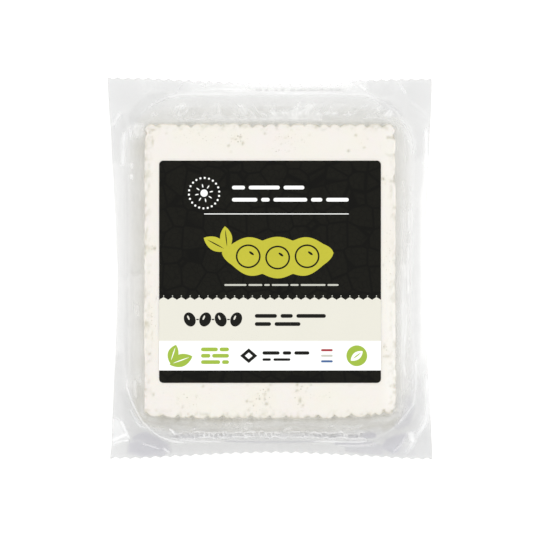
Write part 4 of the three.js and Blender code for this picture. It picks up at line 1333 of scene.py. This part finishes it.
def print_material(name, colour, colour2, rough=0.55, spec=0.12, net=False):
    m, nt, out = new_material("print_" + name)
    co = object_coords(nt)
    fibre = noise_tex(nt, co, 900.0, 3.0, 0.65)
    cloud = noise_tex(nt, co, 70.0, 2.0, 0.5)
    col = mix_colour(nt, ramp(nt, math_node(nt, "ADD", math_node(nt, "MULTIPLY", fibre, 0.5), math_node(nt, "MULTIPLY", cloud, 0.5)), [(0.35, 0.0), (0.65, 1.0)]), colour, colour2)
    if net:  # a faint net of veins, printed in a slightly lighter black
        cells = node(nt, "ShaderNodeTexVoronoi", feature="DISTANCE_TO_EDGE", inputs={"Scale": 125.0, "Randomness": 0.75})
        nt.links.new(co, cells.inputs["Vector"])
        small = node(nt, "ShaderNodeTexVoronoi", feature="DISTANCE_TO_EDGE", inputs={"Scale": 420.0, "Randomness": 0.9})
        nt.links.new(co, small.inputs["Vector"])
        a = ramp(nt, cells.outputs["Distance"], [(0.03, 1.0), (0.07, 0.0)])
        b = ramp(nt, small.outputs["Distance"], [(0.02, 0.6), (0.08, 0.0)])
        col = mix_colour(nt, math_node(nt, "MAXIMUM", a, b), col, tuple(c * 0.45 for c in colour))
    bump = node(nt, "ShaderNodeBump", inputs={"Strength": 0.12, "Distance": 0.0001})
    nt.links.new(fibre, bump.inputs["Height"])
    p = node(nt, "ShaderNodeBsdfPrincipled", inputs={"IOR": 1.45, "Specular IOR Level": spec})
    nt.links.new(col, p.inputs["Base Color"])
    nt.links.new(math_node(nt, "ADD", rough - 0.06, math_node(nt, "MULTIPLY", fibre, 0.12)), p.inputs["Roughness"])
    nt.links.new(bump.outputs[0], p.inputs["Normal"])
    nt.links.new(p.outputs[0], out.inputs[0])
    return m


# --------------------------------------------------------------------------- build
block = build_block()
block.data.materials.append(tofu_material())
film = build_film()
film.data.materials.append(film_material())
label, label_slots = build_label()
PRINT = {
    "black": ((0.0058, 0.0055, 0.0034), (0.0067, 0.0064, 0.0041)),
    "white": ((0.86, 0.87, 0.84), (0.90, 0.90, 0.88)),
    "pale": ((0.684, 0.667, 0.587), (0.695, 0.677, 0.597)),
    "grey": ((0.50, 0.50, 0.44), (0.55, 0.55, 0.48)),
    "yellow": ((0.455, 0.430, 0.037), (0.490, 0.464, 0.041)),
    "green": ((0.300, 0.425, 0.050), (0.320, 0.455, 0.056)),
    "blue": ((0.055, 0.115, 0.27), (0.065, 0.130, 0.30)),
    "red": ((0.33, 0.030, 0.040), (0.37, 0.036, 0.046)),
    "ink": ((0.0062, 0.0061, 0.0045), (0.0075, 0.0074, 0.0058)),
    "paper": ((0.80, 0.80, 0.78), (0.85, 0.85, 0.83)),
}
for s in label_slots:
    label.data.materials.append(print_material(s, *PRINT[s], net=s == "black"))

for piece, cad, slot in (
    (block, "sealed_pack", "tofu"),
    (film, "sealed_pack", "clear_film"),
    (label, "front_label", "label_print"),
):
    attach(piece, "root")
    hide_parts(cad)

# --------------------------------------------------------------- floor, light, view
me = bpy.data.meshes.new("floor")
S = 3.0
me.from_pydata([(-S, -S, -0.0003), (S, -S, -0.0003), (S, S, -0.0003), (-S, S, -0.0003)], [], [(0, 1, 2, 3)])
floor = bpy.data.objects.new("floor", me)
bpy.context.scene.collection.objects.link(floor)
fm, nt, out = new_material("floor_paper")
fd = node(nt, "ShaderNodeBsdfDiffuse", inputs={"Color": (0.85, 0.85, 0.85, 1)})
glow = node(nt, "ShaderNodeEmission", inputs={"Color": (1, 1, 1, 1), "Strength": 0.18})
lit = node(nt, "ShaderNodeAddShader")
nt.links.new(fd.outputs[0], lit.inputs[0])
nt.links.new(glow.outputs[0], lit.inputs[1])
nt.links.new(lit.outputs[0], out.inputs[0])
me.materials.append(fm)


def area_light(name, place, target, size_x, size_y, power):
    d = bpy.data.lights.new(name, "AREA")
    d.shape = "RECTANGLE"
    d.size, d.size_y = size_x, size_y
    d.energy = power
    o = bpy.data.objects.new(name, d)
    bpy.context.scene.collection.objects.link(o)
    o.location = place
    direction = np.array(target, float) - np.array(place, float)
    from mathutils import Vector
    o.rotation_euler = Vector(direction).to_track_quat("-Z", "Y").to_euler()
    return o


# long strips round the table, which the creased film mirrors
area_light("strip_top", (0.0, 1.10, 0.75), (0, 0, 0), 1.5, 0.24, 1.7)
area_light("strip_left", (-1.10, 0.0, 0.75), (0, 0, 0), 0.24, 1.5, 0.6)
area_light("strip_right", (1.10, 0.1, 0.75), (0, 0, 0), 0.24, 1.5, 0.9)
area_light("strip_bottom", (0.0, -1.15, 0.60), (0, 0, 0), 1.4, 0.16, 1.8)

world = bpy.data.worlds.new("studio")
bpy.context.scene.world = world
world.use_nodes = True
wn = world.node_tree
bg = wn.nodes["Background"]
bg.inputs[0].default_value = (0.97, 0.975, 0.98, 1)
bg.inputs[1].default_value = 1.165

cam_data = bpy.data.cameras.new("camera")
cam_data.lens = 135
cam_data.sensor_width = 36
camera = bpy.data.objects.new("camera", cam_data)
bpy.context.scene.collection.objects.link(camera)
camera.location = (0.00008, -0.0006, 0.0093 + 0.81)
camera.rotation_euler = (0, 0, 0)
bpy.context.scene.camera = camera
bpy.context.scene.view_settings.view_transform = "Standard"
